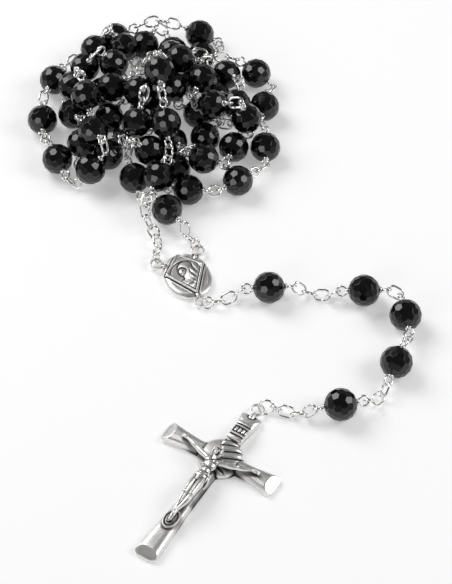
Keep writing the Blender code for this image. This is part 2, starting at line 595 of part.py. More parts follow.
bm = bmesh.new()
m = Matrix.Translation((SCROLL_X * MM, SCROLL_Y * MM, (Z0 + 0.4) * MM)) @ Matrix.Diagonal((SCROLL_W - 0.1, SCROLL_L - 0.8, 0.7, 1))
bmesh.ops.create_cube(bm, size=MM, matrix=m)
for y in (SCROLL_Y - SCROLL_L / 2 + 0.5, SCROLL_Y + SCROLL_L / 2 - 0.5):
    rod(bm, (SCROLL_X - SCROLL_W / 2, y, Z0 + 0.6), (SCROLL_X + SCROLL_W / 2, y, Z0 + 0.6), 0.5, 8)
solid('title_scroll', bm, CAST, rot_place(CROSS_AT, CROSS_TURN))
bpy.data.objects['title_scroll_core'].location = rot_place(CROSS_AT, CROSS_TURN) @ Vector((SCROLL_X * MM, SCROLL_Y * MM, (Z0 + 0.4) * MM))
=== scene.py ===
"""Looks of the rosary: faceted stones, wire pins, links, the medal and the crucifix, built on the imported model."""
import json
import math

import bmesh
import bpy
import numpy as np
from mathutils import Matrix, Vector


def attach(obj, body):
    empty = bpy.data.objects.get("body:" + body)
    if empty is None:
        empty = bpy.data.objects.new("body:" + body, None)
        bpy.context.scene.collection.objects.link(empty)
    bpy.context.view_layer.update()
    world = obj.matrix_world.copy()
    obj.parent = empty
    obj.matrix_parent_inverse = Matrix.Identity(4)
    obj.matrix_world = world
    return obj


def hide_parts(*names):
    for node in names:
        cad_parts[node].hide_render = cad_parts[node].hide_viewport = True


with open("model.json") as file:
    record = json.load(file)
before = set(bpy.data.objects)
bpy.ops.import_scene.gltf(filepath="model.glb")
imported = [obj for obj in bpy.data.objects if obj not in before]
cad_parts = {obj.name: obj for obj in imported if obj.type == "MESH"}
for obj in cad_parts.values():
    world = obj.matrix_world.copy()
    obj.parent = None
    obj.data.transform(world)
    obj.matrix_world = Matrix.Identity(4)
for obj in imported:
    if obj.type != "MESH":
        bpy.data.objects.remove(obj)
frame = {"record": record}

bpy.context.view_layer.update()

# ---------------------------------------------------------------- driving dimensions, mm
MM = 0.001
BEAD_R = 4.0            # 8 mm stone beads
BORE_R = 0.6            # hole through a bead
WIRE_R = 0.25           # half the thickness of the 0.5 mm wire
EYE_R = 1.2             # mean radius of a pin's eye loop
EYE_AT = 5.6            # eye loop centre from the bead's centre
LINK_L = 4.0            # oval link, mean length
LINK_W = 2.6            # oval link, mean width
JUMP_R = 1.5            # small jump ring, mean radius
BIG_JUMP_R = 1.8        # jump ring at the crucifix, mean radius
LOOP_R = 1.5            # loops on the medal and the crucifix, mean radius
LOOP_WIRE_R = 0.3       # half the thickness of those loops
PLAY = 0.45             # play between two hooked wires
MEDAL_AT = (-9.6, 4.4)  # centre of the medal
MEDAL_TURN = 23.0       # degrees, anticlockwise from upright
MEDAL_W, MEDAL_H, MEDAL_T = 11.6, 14.6, 2.2
MEDAL_LOOP_Z = 1.35     # height of the loops' middle above the table
MEDAL_LOOPS = ((-5.8, 6.4), (5.5, 6.4), (-0.2, -9.3))
CROSS_AT = (-1.3, -51.2)   # where the arms cross
CROSS_TURN = -32.5         # degrees
CROSS_UP, CROSS_DOWN, CROSS_ARM = 14.6, 32.0, 15.4
CROSS_T = 2.2              # thickness of the casting
CROSS_LOOP_Y = 16.2        # bail loop centre above the crossing
SCROLL_X, SCROLL_Y = 0.3, 8.0   # middle of the title scroll
SCROLL_W, SCROLL_L = 3.8, 5.8
DISC_R = 5.8               # disc behind the crossing
STRAND_R = 0.5             # wire envelope inside the heaped strands
ORIGIN = (-2.57, 6.64)     # middle of the footprint, taken off every point

# The loop as it is heaped, from the medal's left loop round to its right loop: x, y, height.
# F a fixed loop, J a jump ring, L a link, B a bead on its pin, O an Our Father bead on its pin.
# Where no links are listed between two beads they are filled in: one, or four beside an O.
HEAP = [
    ('F', 0, 0, 0), ('J', -17.6, 11.2, 1.4), ('L', -17.1, 13.6, 1.4), ('L', -17.3, 16.2, 1.6), ('L', -17.9, 18.6, 2.8),
    ('L', -18.1, 20.8, 5.2), ('L', -18.2, 23, 7.4), ('L', -17.6, 25.6, 8.4),
    ('B', -16.8, 31, 8.5), ('B', -17.5, 45, 14), ('B', -19.3, 63, 16), ('B', -13.9, 69, 12), ('B', -7.7, 62.5, 11),
    ('B', -4.8, 55, 12.3), ('B', 6.1, 50, 11.5), ('B', 1.8, 47.5, 4.2), ('B', -7.1, 36, 7.5), ('B', -14, 48.5, 4.2),
    ('O', -20.4, 38.5, 10.5),
    ('B', -28.5, 45, 4.2), ('B', -36.8, 47, 4.2), ('B', -34.5, 57, 12.5), ('B', -41.6, 67.5, 6.5), ('B', -43, 59.5, 4.2),
    ('B', -32, 43, 12), ('B', -33.2, 38, 4.2), ('B', -42.3, 41, 4.2), ('B', -48.7, 53.7, 4.2), ('B', -49.3, 69, 4.2),
    ('L', -47.4, 79.7, 1.4), ('L', -44.4, 83.7, 1.4), ('L', -40.4, 87.7, 1.4), ('L', -36.4, 91.8, 1.4),
    ('O', -29.5, 85, 8),
    ('B', -2.5, 85.4, 4.2), ('B', -10.7, 84.4, 4.2), ('B', -17.3, 79.5, 4.2), ('B', -21.7, 86.2, 4.2),
    ('B', -25.7, 79, 4.2), ('B', -33.3, 83, 4.2), ('B', -36, 75, 4.2), ('B', -28.1, 73, 9.4), ('B', -32, 67, 4.2),
    ('B', -27, 57.5, 9.3),
    ('O', -17.3, 76, 11.8),
    ('B', 7, 73, 4.2), ('B', 8.9, 60.6, 4.2), ('B', 9.7, 46, 4.2), ('B', 1.4, 35.5, 4.2), ('B', -9.7, 31, 4.2),
    ('B', -13.1, 40, 4.2), ('B', -6, 50, 4.2), ('B', 1.2, 61.5, 7), ('B', -0.9, 74, 6), ('B', -9.2, 75.5, 4.2),
    ('O', -14.7, 58.5, 11.6),
    ('B', -6.1, 68, 4.2), ('B', -11.5, 59.6, 4.2), ('B', -15, 67, 4.2), ('B', -21.2, 60.5, 4.2), ('B', -21.8, 51.6, 4.2),
    ('B', -33.5, 57.5, 4.2), ('B', -22.8, 64, 10.5), ('B', -24.8, 48, 9.5), ('B', -23.2, 37, 4.2),
    ('B', -16, 24.4, 4.2),
    ('L', -12, 17.8, 1.8), ('L', -9.8, 16, 1.4), ('J', -7.4, 14.6, 1.4), ('F', 0, 0, 0),
]
# The pendant, from the medal's foot loop to the crucifix.
PENDANT = [
    ('F', 0, 0, 0), ('J', -4.2, -6.4, 1.4), ('L', -2, -4.8, 1.4), ('L', 0.4, -2.6, 1.4), ('L', 2.4, -1.3, 1.6),
    ('B', 10.6, -2.2, 4),
    ('L', 19, 0, 1.4), ('L', 21.8, -1.8, 1.4), ('L', 24.6, -3.3, 1.4), ('L', 27.5, -1.8, 1.4),
    ('B', 34.9, -3.2, 4), ('L', 42, -3.4, 1.5), ('B', 43.9, -10.9, 4), ('L', 44.2, -17.6, 1.5), ('B', 41.1, -24.3, 4),
    ('L', 38.7, -31, 1.4), ('L', 37.9, -34.4, 1.4), ('L', 35.8, -37, 1.4),
    ('B', 26.5, -39.4, 4),
    ('L', 18.9, -39.5, 1.4), ('L', 16.2, -39.1, 1.4), ('L', 13.8, -38.1, 1.4), ('J', 11.9, -37.0, 1.6),
    ('J2', 9.35, -36.6, 1.9), ('F', 0, 0, 0),
]
HALF = {'F': LOOP_R, 'J': JUMP_R, 'J2': BIG_JUMP_R, 'L': LINK_L / 2}
PIN_REACH = 2 * (EYE_AT + EYE_R - WIRE_R - PLAY / 2)   # hook to hook along a pin


def turned(at, turn, x, y):
    """A point given in a turned piece's own frame."""
    c, s = math.cos(math.radians(turn)), math.sin(math.radians(turn))
    return at[0] + c * x - s * y, at[1] + s * x + c * y


def unit(v):
    n = math.sqrt(float(v[0]) ** 2 + float(v[1]) ** 2 + float(v[2]) ** 2)
    return np.array([v[0] / n, v[1] / n, v[2] / n])


def cross3(a, b):
    return np.array([a[1] * b[2] - a[2] * b[1], a[2] * b[0] - a[0] * b[2], a[0] * b[1] - a[1] * b[0]])


def fill_in(rows):
    """Add the links that are not listed between two beads."""
    out = []
    for i, row in enumerate(rows):
        out.append((row[0], np.array(row[1:4], float), True))
        if i + 1 < len(rows) and row[0] in 'BO' and rows[i + 1][0] in 'BO':
            n = 4 if 'O' in (row[0], rows[i + 1][0]) else 1
            for k in range(n):
                t = (k + 1) / (n + 1)
                p = np.array(row[1:4], float) * (1 - t) + np.array(rows[i + 1][1:4], float) * t
                out.append(('L', p, False))
    return out


def settle(rows, first, last, rounds=2000):
    """Let a strand find its lie.  The strand is a row of pieces hooked end to end, so it is held as
    the points where they hook.  Pins are stiff, rings reach no further than they can, nothing
    passes through anything else or through the table, and the rest is gravity and the places
    where the strand was laid.  first and last are the loops that hold its ends."""
    rows = fill_in(rows)[1:-1]
    n = len(rows)
    reach = [PIN_REACH if k in 'BO' else 2 * HALF[k] - 2 * WIRE_R - PLAY for k, p, q in rows]
    P = np.zeros((n + 1, 3))
    hold = LOOP_R - LOOP_WIRE_R - PLAY / 2
    P[0] = np.array(first) + unit(rows[0][1] - np.array(first)) * hold
    P[n] = np.array(last) + unit(rows[-1][1] - np.array(last)) * hold
    for i in range(1, n):
        a, b = rows[i - 1], rows[i]
        t = reach[i - 1] / (reach[i - 1] + reach[i])
        P[i] = a[1] * (1 - t) + b[1] * t
    W = np.ones(n + 1)
    W[0] = W[n] = 0.0
    ra, rb = np.arange(n), np.arange(1, n + 1)
    rl = np.array(reach)
    stiff = np.array([k in 'BO' for k, p, q in rows])
    bend = [i for i in range(n - 1) if not (stiff[i] and stiff[i + 1])]
    be = np.array(bend)
    bl = np.array([0.82 * (rl[i] + rl[i + 1]) for i in bend])
    # balls carried by the pieces: piece, share of its length, radius, least height
    B = []
    te = (PIN_REACH / 2 - EYE_AT) / PIN_REACH
    for i, (k, p, placed) in enumerate(rows):
        if k in 'BO':
            B += [(i, 0.5, BEAD_R + 0.14, BEAD_R), (i, te, 1.3, 1.75), (i, 1 - te, 1.3, 1.75)]
        else:
            B.append((i, 0.5, 1.9 if placed else 1.35, {'J': 1.56, 'J2': 1.85}.get(k, 1.36)))
    bi, bt = np.array([x[0] for x in B]), np.array([x[1] for x in B])
    br, bz = np.array([x[2] for x in B]), np.array([x[3] for x in B])
    iu, ju = np.triu_indices(len(B), 1)
    big = br > 3
    ok = (np.abs(bi[iu] - bi[ju]) > 1) | ((np.abs(bi[iu] - bi[ju]) == 1) & (big[iu] | big[ju]) & ~(big[iu] & big[ju]))
    iu, ju = iu[ok], ju[ok]
    need = np.where(~big[iu] & ~big[ju], 2.4, br[iu] + br[ju])
    need = np.where(np.abs(bi[iu] - bi[ju]) == 1, BEAD_R + 1.2, need)
    pl = [(i, p, 1.0 if k in 'BO' else 0.6) for i, (k, p, placed) in enumerate(rows) if placed]
    pi, pw = np.array([x[0] for x in pl]), np.array([x[1] for x in pl])
    ps = np.array([x[2] for x in pl])[:, None]

    def spread(idx, t, move):
        """Move points along pieces, each by moving the two hooks at the piece's ends."""
        D, cnt = np.zeros_like(P), np.zeros(n + 1)
        wa, wb = W[idx], W[idx + 1]
        k = np.maximum((1 - t) ** 2 * wa + t ** 2 * wb, 0.05)
        np.add.at(D, idx, move * ((1 - t) * wa / k)[:, None])
        np.add.at(D, idx + 1, move * (t * wb / k)[:, None])
        np.add.at(cnt, idx, 1.0)
        np.add.at(cnt, idx + 1, 1.0)
        return D, cnt

    for it in range(rounds):
        mid = (P[pi] + P[pi + 1]) / 2
        mv = (pw - mid) * (0.10 * (1 - it / rounds) + 0.008) * ps
        D, cnt = spread(pi, np.full(len(pi), 0.5), mv)
        P += D / np.maximum(cnt, 1)[:, None]
        P[:, 2] -= 0.02 * W
        for sub in range(2):
            Q = P[bi] * (1 - bt)[:, None] + P[bi + 1] * bt[:, None]
            d = Q[ju] - Q[iu]
            q = d[:, 0] ** 2 + d[:, 1] ** 2 + d[:, 2] ** 2
            hit = q < need ** 2
            if hit.any():
                a, b, dd = iu[hit], ju[hit], d[hit]
                L = np.sqrt(q[hit]) + 1e-9
                c = dd * ((need[hit] - L) / L)[:, None] * 0.5
                D0, c0 = spread(bi[a], bt[a], -c)
                D1, c1 = spread(bi[b], bt[b], c)
                P += (D0 + D1) / np.maximum((c0 + c1) * 0.5, 1)[:, None]
            Q = P[bi] * (1 - bt)[:, None] + P[bi + 1] * bt[:, None]
            deep = np.maximum(bz - Q[:, 2], 0)
            mv = np.zeros_like(Q)
            mv[:, 2] = deep
            D, cnt = spread(bi[deep > 0], bt[deep > 0], mv[deep > 0])
            P += D / np.maximum(cnt, 1)[:, None]
            d = P[be + 2] - P[be]
            L = np.sqrt(d[:, 0] ** 2 + d[:, 1] ** 2 + d[:, 2] ** 2) + 1e-9
            c = d * (np.minimum(L - bl, 0) / L / np.maximum(W[be] + W[be + 2], 0.1) * 0.5)[:, None]
            D = np.zeros_like(P)
            np.add.at(D, be, c * W[be][:, None])
            np.add.at(D, be + 2, -c * W[be + 2][:, None])
            P += D
            for again in range(3):
                d = P[rb] - P[ra]
                L = np.sqrt(d[:, 0] ** 2 + d[:, 1] ** 2 + d[:, 2] ** 2) + 1e-9
                e = L - rl
                e = np.where(~stiff & (e < 0), np.minimum(L - 0.6 * rl, 0), e)
                c = d * (e / L / np.maximum(W[ra] + W[rb], 0.1))[:, None]
                D = np.zeros_like(P)
                np.add.at(D, ra, c * W[ra][:, None])
                np.add.at(D, rb, -c * W[rb][:, None])
                P += D * 0.6
    P[1:-1, 2] += 0.04      # clear of the table
    out = [{'kind': 'F', 'at': np.array(first, float)}]
    for i, (k, p, placed) in enumerate(rows):
        ax = unit(P[i + 1] - P[i])
        el = {'kind': k, 'at': (P[i] + P[i + 1]) / 2, 'axis': ax, 'from': P[i].copy(), 'to': P[i + 1].copy()}
        if k in 'BO':
            el['e0'], el['e1'] = el['at'] - ax * EYE_AT, el['at'] + ax * EYE_AT
        out.append(el)
    out.append({'kind': 'F', 'at': np.array(last, float)})

    # planes of the loops: each stands across the one before it, leaning 45 degrees to the table
    def lean(a, side, tilt=45):
        up = np.array([0.0, 0.0, 1.0]) - a * a[2]
        up = unit(up) if abs(a[2]) < 0.97 else unit(np.array([1.0, 0.0, 0.0]) - a * a[0])
        flat = cross3(a, up)
        return unit(up * math.cos(math.radians(90 - tilt)) + flat * side * math.sin(math.radians(90 - tilt)))
    side = 1
    for el in out[1:-1]:
        if el['kind'] in 'BO':
            el['n0'] = lean(el['axis'], side)
            el['n1'] = lean(el['axis'], -side)
        else:
            el['n'] = lean(el['axis'], side, 30 if el['kind'] in ('J', 'J2') else 45)
            side = -side
            continue
    return out


def medal_loop(k):
    x, y = turned(MEDAL_AT, MEDAL_TURN, *MEDAL_LOOPS[k])
    return (x, y, MEDAL_LOOP_Z)


bail = (*turned(CROSS_AT, CROSS_TURN, 0, CROSS_LOOP_Y), MEDAL_LOOP_Z)
heap = settle(HEAP, medal_loop(0), medal_loop(1))
pend = settle(PENDANT, medal_loop(2), bail)


first = next(i for i, el in enumerate(heap) if el['kind'] in 'BO')
last = max(i for i, el in enumerate(heap) if el['kind'] in 'BO')
beads = [i for i, el in enumerate(heap) if el['kind'] in 'BO']
fathers = [i for i in beads if heap[i]['kind'] == 'O']
ROOT = 'medal_and_loop'
SLOTS = {m['slot'] for m in frame['record']['materials']}


# ---------------------------------------------------------------- materials
def new_mat(name):
    m = bpy.data.materials.new(name)
    m.use_nodes = True
    nt = m.node_tree
    return m, nt, nt.nodes["Principled BSDF"]


def noise(nt, scale, detail=3.0, rough=0.5, stretch=None):
    tc = nt.nodes.new('ShaderNodeTexCoord')
    n = nt.nodes.new('ShaderNodeTexNoise')
    n.inputs['Scale'].default_value = scale
    n.inputs['Detail'].default_value = detail
    n.inputs['Roughness'].default_value = rough
    src = tc.outputs['Object']
    if stretch:
        mp = nt.nodes.new('ShaderNodeMapping')
        mp.inputs['Scale'].default_value = stretch
        nt.links.new(src, mp.inputs['Vector'])
        src = mp.outputs['Vector']
    nt.links.new(src, n.inputs['Vector'])
    return n.outputs['Fac']


def ramp(nt, fac, stops):
    r = nt.nodes.new('ShaderNodeValToRGB')
    el = r.color_ramp.elements
    while len(el) < len(stops):
        el.new(0.5)
    for e, (p, c) in zip(el, stops):
        e.position = p
        e.color = (*c, 1) if len(c) == 3 else c
    nt.links.new(fac, r.inputs['Fac'])
    return r.outputs['Color']


def span(nt, fac, a0, a1, b0, b1):
    mr = nt.nodes.new('ShaderNodeMapRange')
    mr.inputs['From Min'].default_value = a0
    mr.inputs['From Max'].default_value = a1
    mr.inputs['To Min'].default_value = b0
    mr.inputs['To Max'].default_value = b1
    nt.links.new(fac, mr.inputs['Value'])
    return mr.outputs['Result']


def bump(nt, fac, bsdf, strength, dist):
    b = nt.nodes.new('ShaderNodeBump')
    b.inputs['Strength'].default_value = strength
    b.inputs['Distance'].default_value = dist
    nt.links.new(fac, b.inputs['Height'])
    nt.links.new(b.outputs['Normal'], bsdf.inputs['Normal'])


def make_onyx():
    m, nt, b = new_mat('black_onyx_polished')
    f = noise(nt, 260.0, 4.0, 0.6)
    nt.links.new(ramp(nt, f, [(0.3, (0.0012, 0.0012, 0.0015)), (0.62, (0.0022, 0.0023, 0.0030)), (0.8, (0.0050, 0.0054, 0.0070))]), b.inputs['Base Color'])
    g = noise(nt, 900.0, 5.0, 0.7)
    nt.links.new(span(nt, g, 0.35, 0.7, 0.035, 0.10), b.inputs['Roughness'])
    b.inputs['IOR'].default_value = 1.54
    b.inputs['Coat Weight'].default_value = 0.0
    b.inputs['Coat Roughness'].default_value = 0.03
    return m


def make_wire():
    m, nt, b = new_mat('silver_wire_bright')
    f = noise(nt, 500.0, 3.0, 0.5)
    nt.links.new(ramp(nt, f, [(0.25, (0.78, 0.77, 0.75)), (0.6, (0.93, 0.925, 0.91)), (0.85, (0.97, 0.965, 0.95))]), b.inputs['Base Color'])
    b.inputs['Metallic'].default_value = 1.0
    g = noise(nt, 1400.0, 4.0, 0.65)
    nt.links.new(span(nt, g, 0.3, 0.72, 0.10, 0.24), b.inputs['Roughness'])
    bump(nt, g, b, 0.12, 0.00004)
    return m


def make_cast(name, brush=None):
    """Antiqued cast silver: patina dark in the recesses, rubbed bright on what stands up; on the crucifix pieces the
    recess value also carries painted shade.
    """
    m, nt, b = new_mat(name)
    at = nt.nodes.new('ShaderNodeAttribute')
    at.attribute_name = 'recess'
    f = noise(nt, 420.0, 5.0, 0.62)
    mix = nt.nodes.new('ShaderNodeMath')
    mix.operation = 'MULTIPLY_ADD'
    nt.links.new(f, mix.inputs[0])
    mix.inputs[1].default_value = 0.22
    nt.links.new(at.outputs['Fac'], mix.inputs[2])
    col = ramp(nt, mix.outputs[0], [(0.0, (0.94, 0.935, 0.92)), (0.36, (0.84, 0.832, 0.815)), (0.50, (0.58, 0.572, 0.555)),
                                    (0.66, (0.20, 0.196, 0.188)), (0.86, (0.03, 0.029, 0.027))])
    nt.links.new(col, b.inputs['Base Color'])
    b.inputs['Metallic'].default_value = 1.0
    g = noise(nt, 2600.0, 5.0, 0.7, brush)
    rr = span(nt, at.outputs['Fac'], 0.2, 0.9, 0.29, 0.52)
    add = nt.nodes.new('ShaderNodeMath')
    add.operation = 'MULTIPLY_ADD'
    nt.links.new(g, add.inputs[0])
    add.inputs[1].default_value = 0.16
    nt.links.new(rr, add.inputs[2])
    nt.links.new(add.outputs[0], b.inputs['Roughness'])
    bump(nt, g, b, 0.45, 0.00008)
    return m


ONYX_M, WIRE_M = make_onyx(), make_wire()
CAST_M = make_cast('antique_silver_cast')
MEDAL_M = make_cast('antique_silver_brushed', (1.0, 0.16, 1.0))


# ---------------------------------------------------------------- mesh helpers, all in millimetres
def place(at, x, z):
    x, z = unit(x), unit(z)
    y = cross3(z, x)
    p = [at[0] - ORIGIN[0], at[1] - ORIGIN[1], at[2]]
    return np.array([[x[0], y[0], z[0], p[0]], [x[1], y[1], z[1], p[1]], [x[2], y[2], z[2], p[2]], [0, 0, 0, 1.0]])


def rot_place(at, turn):
    c, s = math.cos(math.radians(turn)), math.sin(math.radians(turn))
    return np.array([[c, -s, 0, at[0] - ORIGIN[0]], [s, c, 0, at[1] - ORIGIN[1]], [0, 0, 1, 0], [0, 0, 0, 1.0]])


def across(d):
    k = int(np.argmin(np.abs(d)))
    e = np.zeros(3); e[k] = 1.0
    return unit(cross3(d, e))


def put(name, V, F, mat, M=None, smooth=True, body=ROOT, nodes=(), mesh=None):
    """A piece from vertices and faces; M (or the piece's own place) is applied as the object's matrix."""
    if mesh is None:
        mesh = bpy.data.meshes.new(name)
        V = np.asarray(V, float) * MM
        mesh.from_pydata(V.tolist(), [], F)
        mesh.update()
        mesh.polygons.foreach_set('use_smooth', [bool(smooth)] * len(mesh.polygons))
        mesh.materials.append(mat)
    ob = bpy.data.objects.new(name, mesh)
    bpy.context.scene.collection.objects.link(ob)
    if M is not None:
        K = np.array(M, float)
        K[:3, 3] *= MM
        ob.matrix_world = Matrix(K.tolist())
    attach(ob, body)
    for n in nodes:
        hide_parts(n)
    return ob


def sweep(points, r, closed=False, sides=10, taper=None):
    """A round tube along points.  Open ends are closed with a small dome."""
    P = np.array(points, float)
    n = len(P)
    if closed:
        T = np.roll(P, -1, 0) - np.roll(P, 1, 0)
    else:
        T = np.gradient(P, axis=0)
    T = T / np.sqrt((T ** 2).sum(1))[:, None]
    N = [across(T[0])]
    for i in range(1, n):
        v = N[-1] - T[i] * float((N[-1] * T[i]).sum())
        N.append(unit(v))
    N = np.array(N)
    twist = 0.0
    if closed:
        v = N[-1] - T[0] * float((N[-1] * T[0]).sum())
        v = unit(v)
        b = cross3(T[0], N[0])
        twist = math.atan2(float((v * b).sum()), float((v * N[0]).sum()))
    rr = np.full(n, r) if taper is None else np.array(taper, float)
    V, F = [], []
    for i in range(n):
        t = -twist * i / n if closed else 0.0
        b = cross3(T[i], N[i])
        for k in range(sides):
            a = 2 * math.pi * k / sides + t
            V.append(P[i] + (N[i] * math.cos(a) + b * math.sin(a)) * rr[i])
    rings = n if closed else n - 1
    for i in range(rings):
        j = (i + 1) % n
        for k in range(sides):
            k2 = (k + 1) % sides
            F.append((i * sides + k, i * sides + k2, j * sides + k2, j * sides + k))
    if not closed:
        for end, sign in ((0, -1), (n - 1, 1)):
            base = len(V)
            b = cross3(T[end], N[end])
            for k in range(sides):
                a = 2 * math.pi * k / sides
                V.append(P[end] + T[end] * sign * rr[end] * 0.35 + (N[end] * math.cos(a) + b * math.sin(a)) * rr[end] * 0.72)
            V.append(P[end] + T[end] * sign * rr[end] * 0.48)
            for k in range(sides):
                k2 = (k + 1) % sides
                q = (end * sides + k, end * sides + k2, base + k2, base + k)
                F.append(q if sign < 0 else q[::-1])
                t3 = (base + k, base + k2, base + sides)
                F.append(t3 if sign < 0 else t3[::-1])
            if sign < 0:
                pass
    return np.array(V), fix(F)


def fix(F):
    return [tuple(int(i) for i in f) for f in F]


def normals_out(ob):
    bm = bmesh.new()
    bm.from_mesh(ob.data)
    bmesh.ops.recalc_face_normals(bm, faces=bm.faces[:])
    bm.to_mesh(ob.data)
    bm.free()


def soften(points, closed=False, rounds=2):
    """Corner cutting, to turn a few points into a smooth run."""
    P = np.array(points, float)
    for _ in range(rounds):
        if closed:
            Q = np.roll(P, -1, 0)
            P = np.stack([P * 0.75 + Q * 0.25, P * 0.25 + Q * 0.75], 1).reshape(-1, P.shape[1])
        else:
            A, B = P[:-1], P[1:]
            mid = np.stack([A * 0.75 + B * 0.25, A * 0.25 + B * 0.75], 1).reshape(-1, P.shape[1])
            P = np.vstack([P[:1], mid, P[-1:]])
    return P


# ---------------------------------------------------------------- the stones
def bead_mesh():
    """A round stone cut with rows of flat facets about its drilled hole."""
    bm = bmesh.new()
    bmesh.ops.create_cube(bm, size=11.0)
    rows = ((0.0, 14, 0.0), (22.6, 14, 0.5), (-22.6, 14, 0.5), (45.0, 11, 0.2), (-45.0, 11, 0.2), (66.5, 6, 0.6), (-66.5, 6, 0.6))
    planes = []
    for lat, n, off in rows:
        for k in range(n):
            a = 2 * math.pi * (k + off) / n
            la = math.radians(lat)
            planes.append((math.cos(la) * math.cos(a), math.cos(la) * math.sin(a), math.sin(la)))
    planes += [(0, 0, 1), (0, 0, -1)]
    for p in planes:
        v = Vector(p)
        d = 3.875 if abs(p[2]) < 0.99 else 3.86
        g = bmesh.ops.bisect_plane(bm, geom=bm.verts[:] + bm.edges[:] + bm.faces[:], plane_co=v * d, plane_no=v, clear_outer=True)
        cut = [e for e in g['geom_cut'] if isinstance(e, bmesh.types.BMEdge)]
        if cut:
            bmesh.ops.edgeloop_fill(bm, edges=cut)
    bmesh.ops.remove_doubles(bm, verts=bm.verts[:], dist=0.002)
    bmesh.ops.bevel(bm, geom=bm.edges[:], offset=0.045, segments=1, affect='EDGES', clamp_overlap=True)
    bmesh.ops.recalc_face_normals(bm, faces=bm.faces[:])
    me = bpy.data.meshes.new('stone_solid')
    bm.to_mesh(me); bm.free()
    cut = bpy.data.meshes.new('stone_bore')
    cb = bmesh.new()
    bmesh.ops.create_cone(cb, cap_ends=True, segments=24, radius1=BORE_R, radius2=BORE_R, depth=12.0)
    cb.to_mesh(cut); cb.free()
    a, b = bpy.data.objects.new('stone_solid', me), bpy.data.objects.new('stone_bore', cut)
    for o in (a, b):
        bpy.context.scene.collection.objects.link(o)
    mod = a.modifiers.new('bore', 'BOOLEAN')
    mod.operation, mod.solver, mod.object = 'DIFFERENCE', 'EXACT', b
    bpy.context.view_layer.update()
    done = bpy.data.meshes.new_from_object(a.evaluated_get(bpy.context.evaluated_depsgraph_get()))
    for o in (a, b):
        bpy.data.objects.remove(o)
    done.transform(Matrix.Scale(MM, 4))
    done.polygons.foreach_set('use_smooth', [False] * len(done.polygons))
    done.materials.clear()
    done.materials.append(ONYX_M)
    done.name = 'faceted_stone'
    return done


STONE = bead_mesh()


def stone(name, el, body, nodes, turn):
    M = place(el['at'], across(el['axis']), el['axis'])
    c, s = math.cos(turn), math.sin(turn)
    R = np.array([[c, -s, 0, 0], [s, c, 0, 0], [0, 0, 1, 0], [0, 0, 0, 1.0]])
    put(name, None, None, ONYX_M, M @ R, body=body, nodes=nodes, mesh=STONE)


# ---------------------------------------------------------------- wire pieces
def link_mesh():
    r, s = LINK_W / 2, (LINK_L - LINK_W) / 2
    pts = []
    for side in (1, -1):
        for k in range(13):
            a = math.radians(-90 + 180 * k / 12)
            pts.append((side * (s + r * math.cos(a)), side * r * math.sin(a), 0.0))
    # a hairline seam on one long side, where the wire's two ends meet
    P = np.array(pts)
    run = [(0.03, -r, 0.0)] + [tuple(p) for p in P] + [(-0.03, -r, 0.0)]
    order = [(0.03, -r, 0.0), (s, -r, 0.0)] + [tuple(p) for p in P[1:12]] + [(s, r, 0.0), (0.0, r, 0.0), (-s, r, 0.0)] + [tuple(p) for p in P[14:25]] + [(-s, -r, 0.0), (-0.03, -r, 0.0)]
    return sweep(order, WIRE_R + 0.045, False, 10)


def jump_mesh(R):
    pts = [(R * math.cos(a), R * math.sin(a), 0.0) for a in [math.radians(92 + 356 * k / 44) for k in range(45)]]
    return sweep(pts, WIRE_R + 0.045, False, 10)


MESHES = {}


def shared(kind, maker):
    if kind not in MESHES:
        V, F = maker()
        me = bpy.data.meshes.new(kind)
        me.from_pydata((V * MM).tolist(), [], F)
        me.update()
        bm = bmesh.new(); bm.from_mesh(me)
        bmesh.ops.recalc_face_normals(bm, faces=bm.faces[:])
        bm.to_mesh(me); bm.free()
        me.polygons.foreach_set('use_smooth', [True] * len(me.polygons))
        me.materials.append(WIRE_M)
        MESHES[kind] = me
    return MESHES[kind]


def ring_piece(name, el, body, nodes):
    if el['kind'] == 'L':
        me = shared('oval_link', link_mesh)
    else:
        me = shared('jump_ring_%s' % el['kind'], lambda: jump_mesh(HALF[el['kind']]))
    put(name, None, None, WIRE_M, place(el['at'], el['axis'], el['n']), body=body, nodes=nodes, mesh=me)


def pin_piece(name, el, body, nodes):
    """One wire: through the bead, an eye at each end, and each tail wrapped round its neck."""
    az = across(el['axis'])
    ay = cross3(az, el['axis'])

    def end(nrm, sign):
        side = cross3(nrm, el['axis'])
        u = np.array([0.0, float((side * ay).sum()), float((side * az).sum())])   # the eye's plane holds X and u
        w = cross3(np.array([1.0, 0, 0]), u)
        X = np.array([1.0, 0.0, 0.0])
        pts = [X * 3.4, X * 4.05, X * (EYE_AT - EYE_R - 0.02) + u * 0.10]
        for k in range(25):
            a = math.radians(162 - 13.6 * k)
            pts.append(X * (EYE_AT + EYE_R * math.cos(a)) + u * EYE_R * math.sin(a))
        # the tail: from the eye's foot round the neck, back towards the bead
        coil = 2 * WIRE_R + 0.08
        for k in range(1, 23):
            t = k / 22
            a = -math.pi / 2 - 2 * math.pi * 1.85 * t
            x = (EYE_AT - EYE_R - 0.10) * (1 - t) + 4.02 * t
            rr = coil if k > 2 else coil * (0.85 + 0.05 * k)
            pts.append(X * x + (u * math.sin(a) + w * math.cos(a)) * rr)
        return [p * np.array([sign, 1, 1]) for p in pts]
    one, two = end(el['n0'], -1), end(el['n1'], 1)
    V, F = sweep(one[::-1] + two, WIRE_R + 0.035, False, 8)
    ob = put(name, V, F, WIRE_M, place(el['at'], el['axis'], az), body=body, nodes=nodes)
    normals_out(ob)


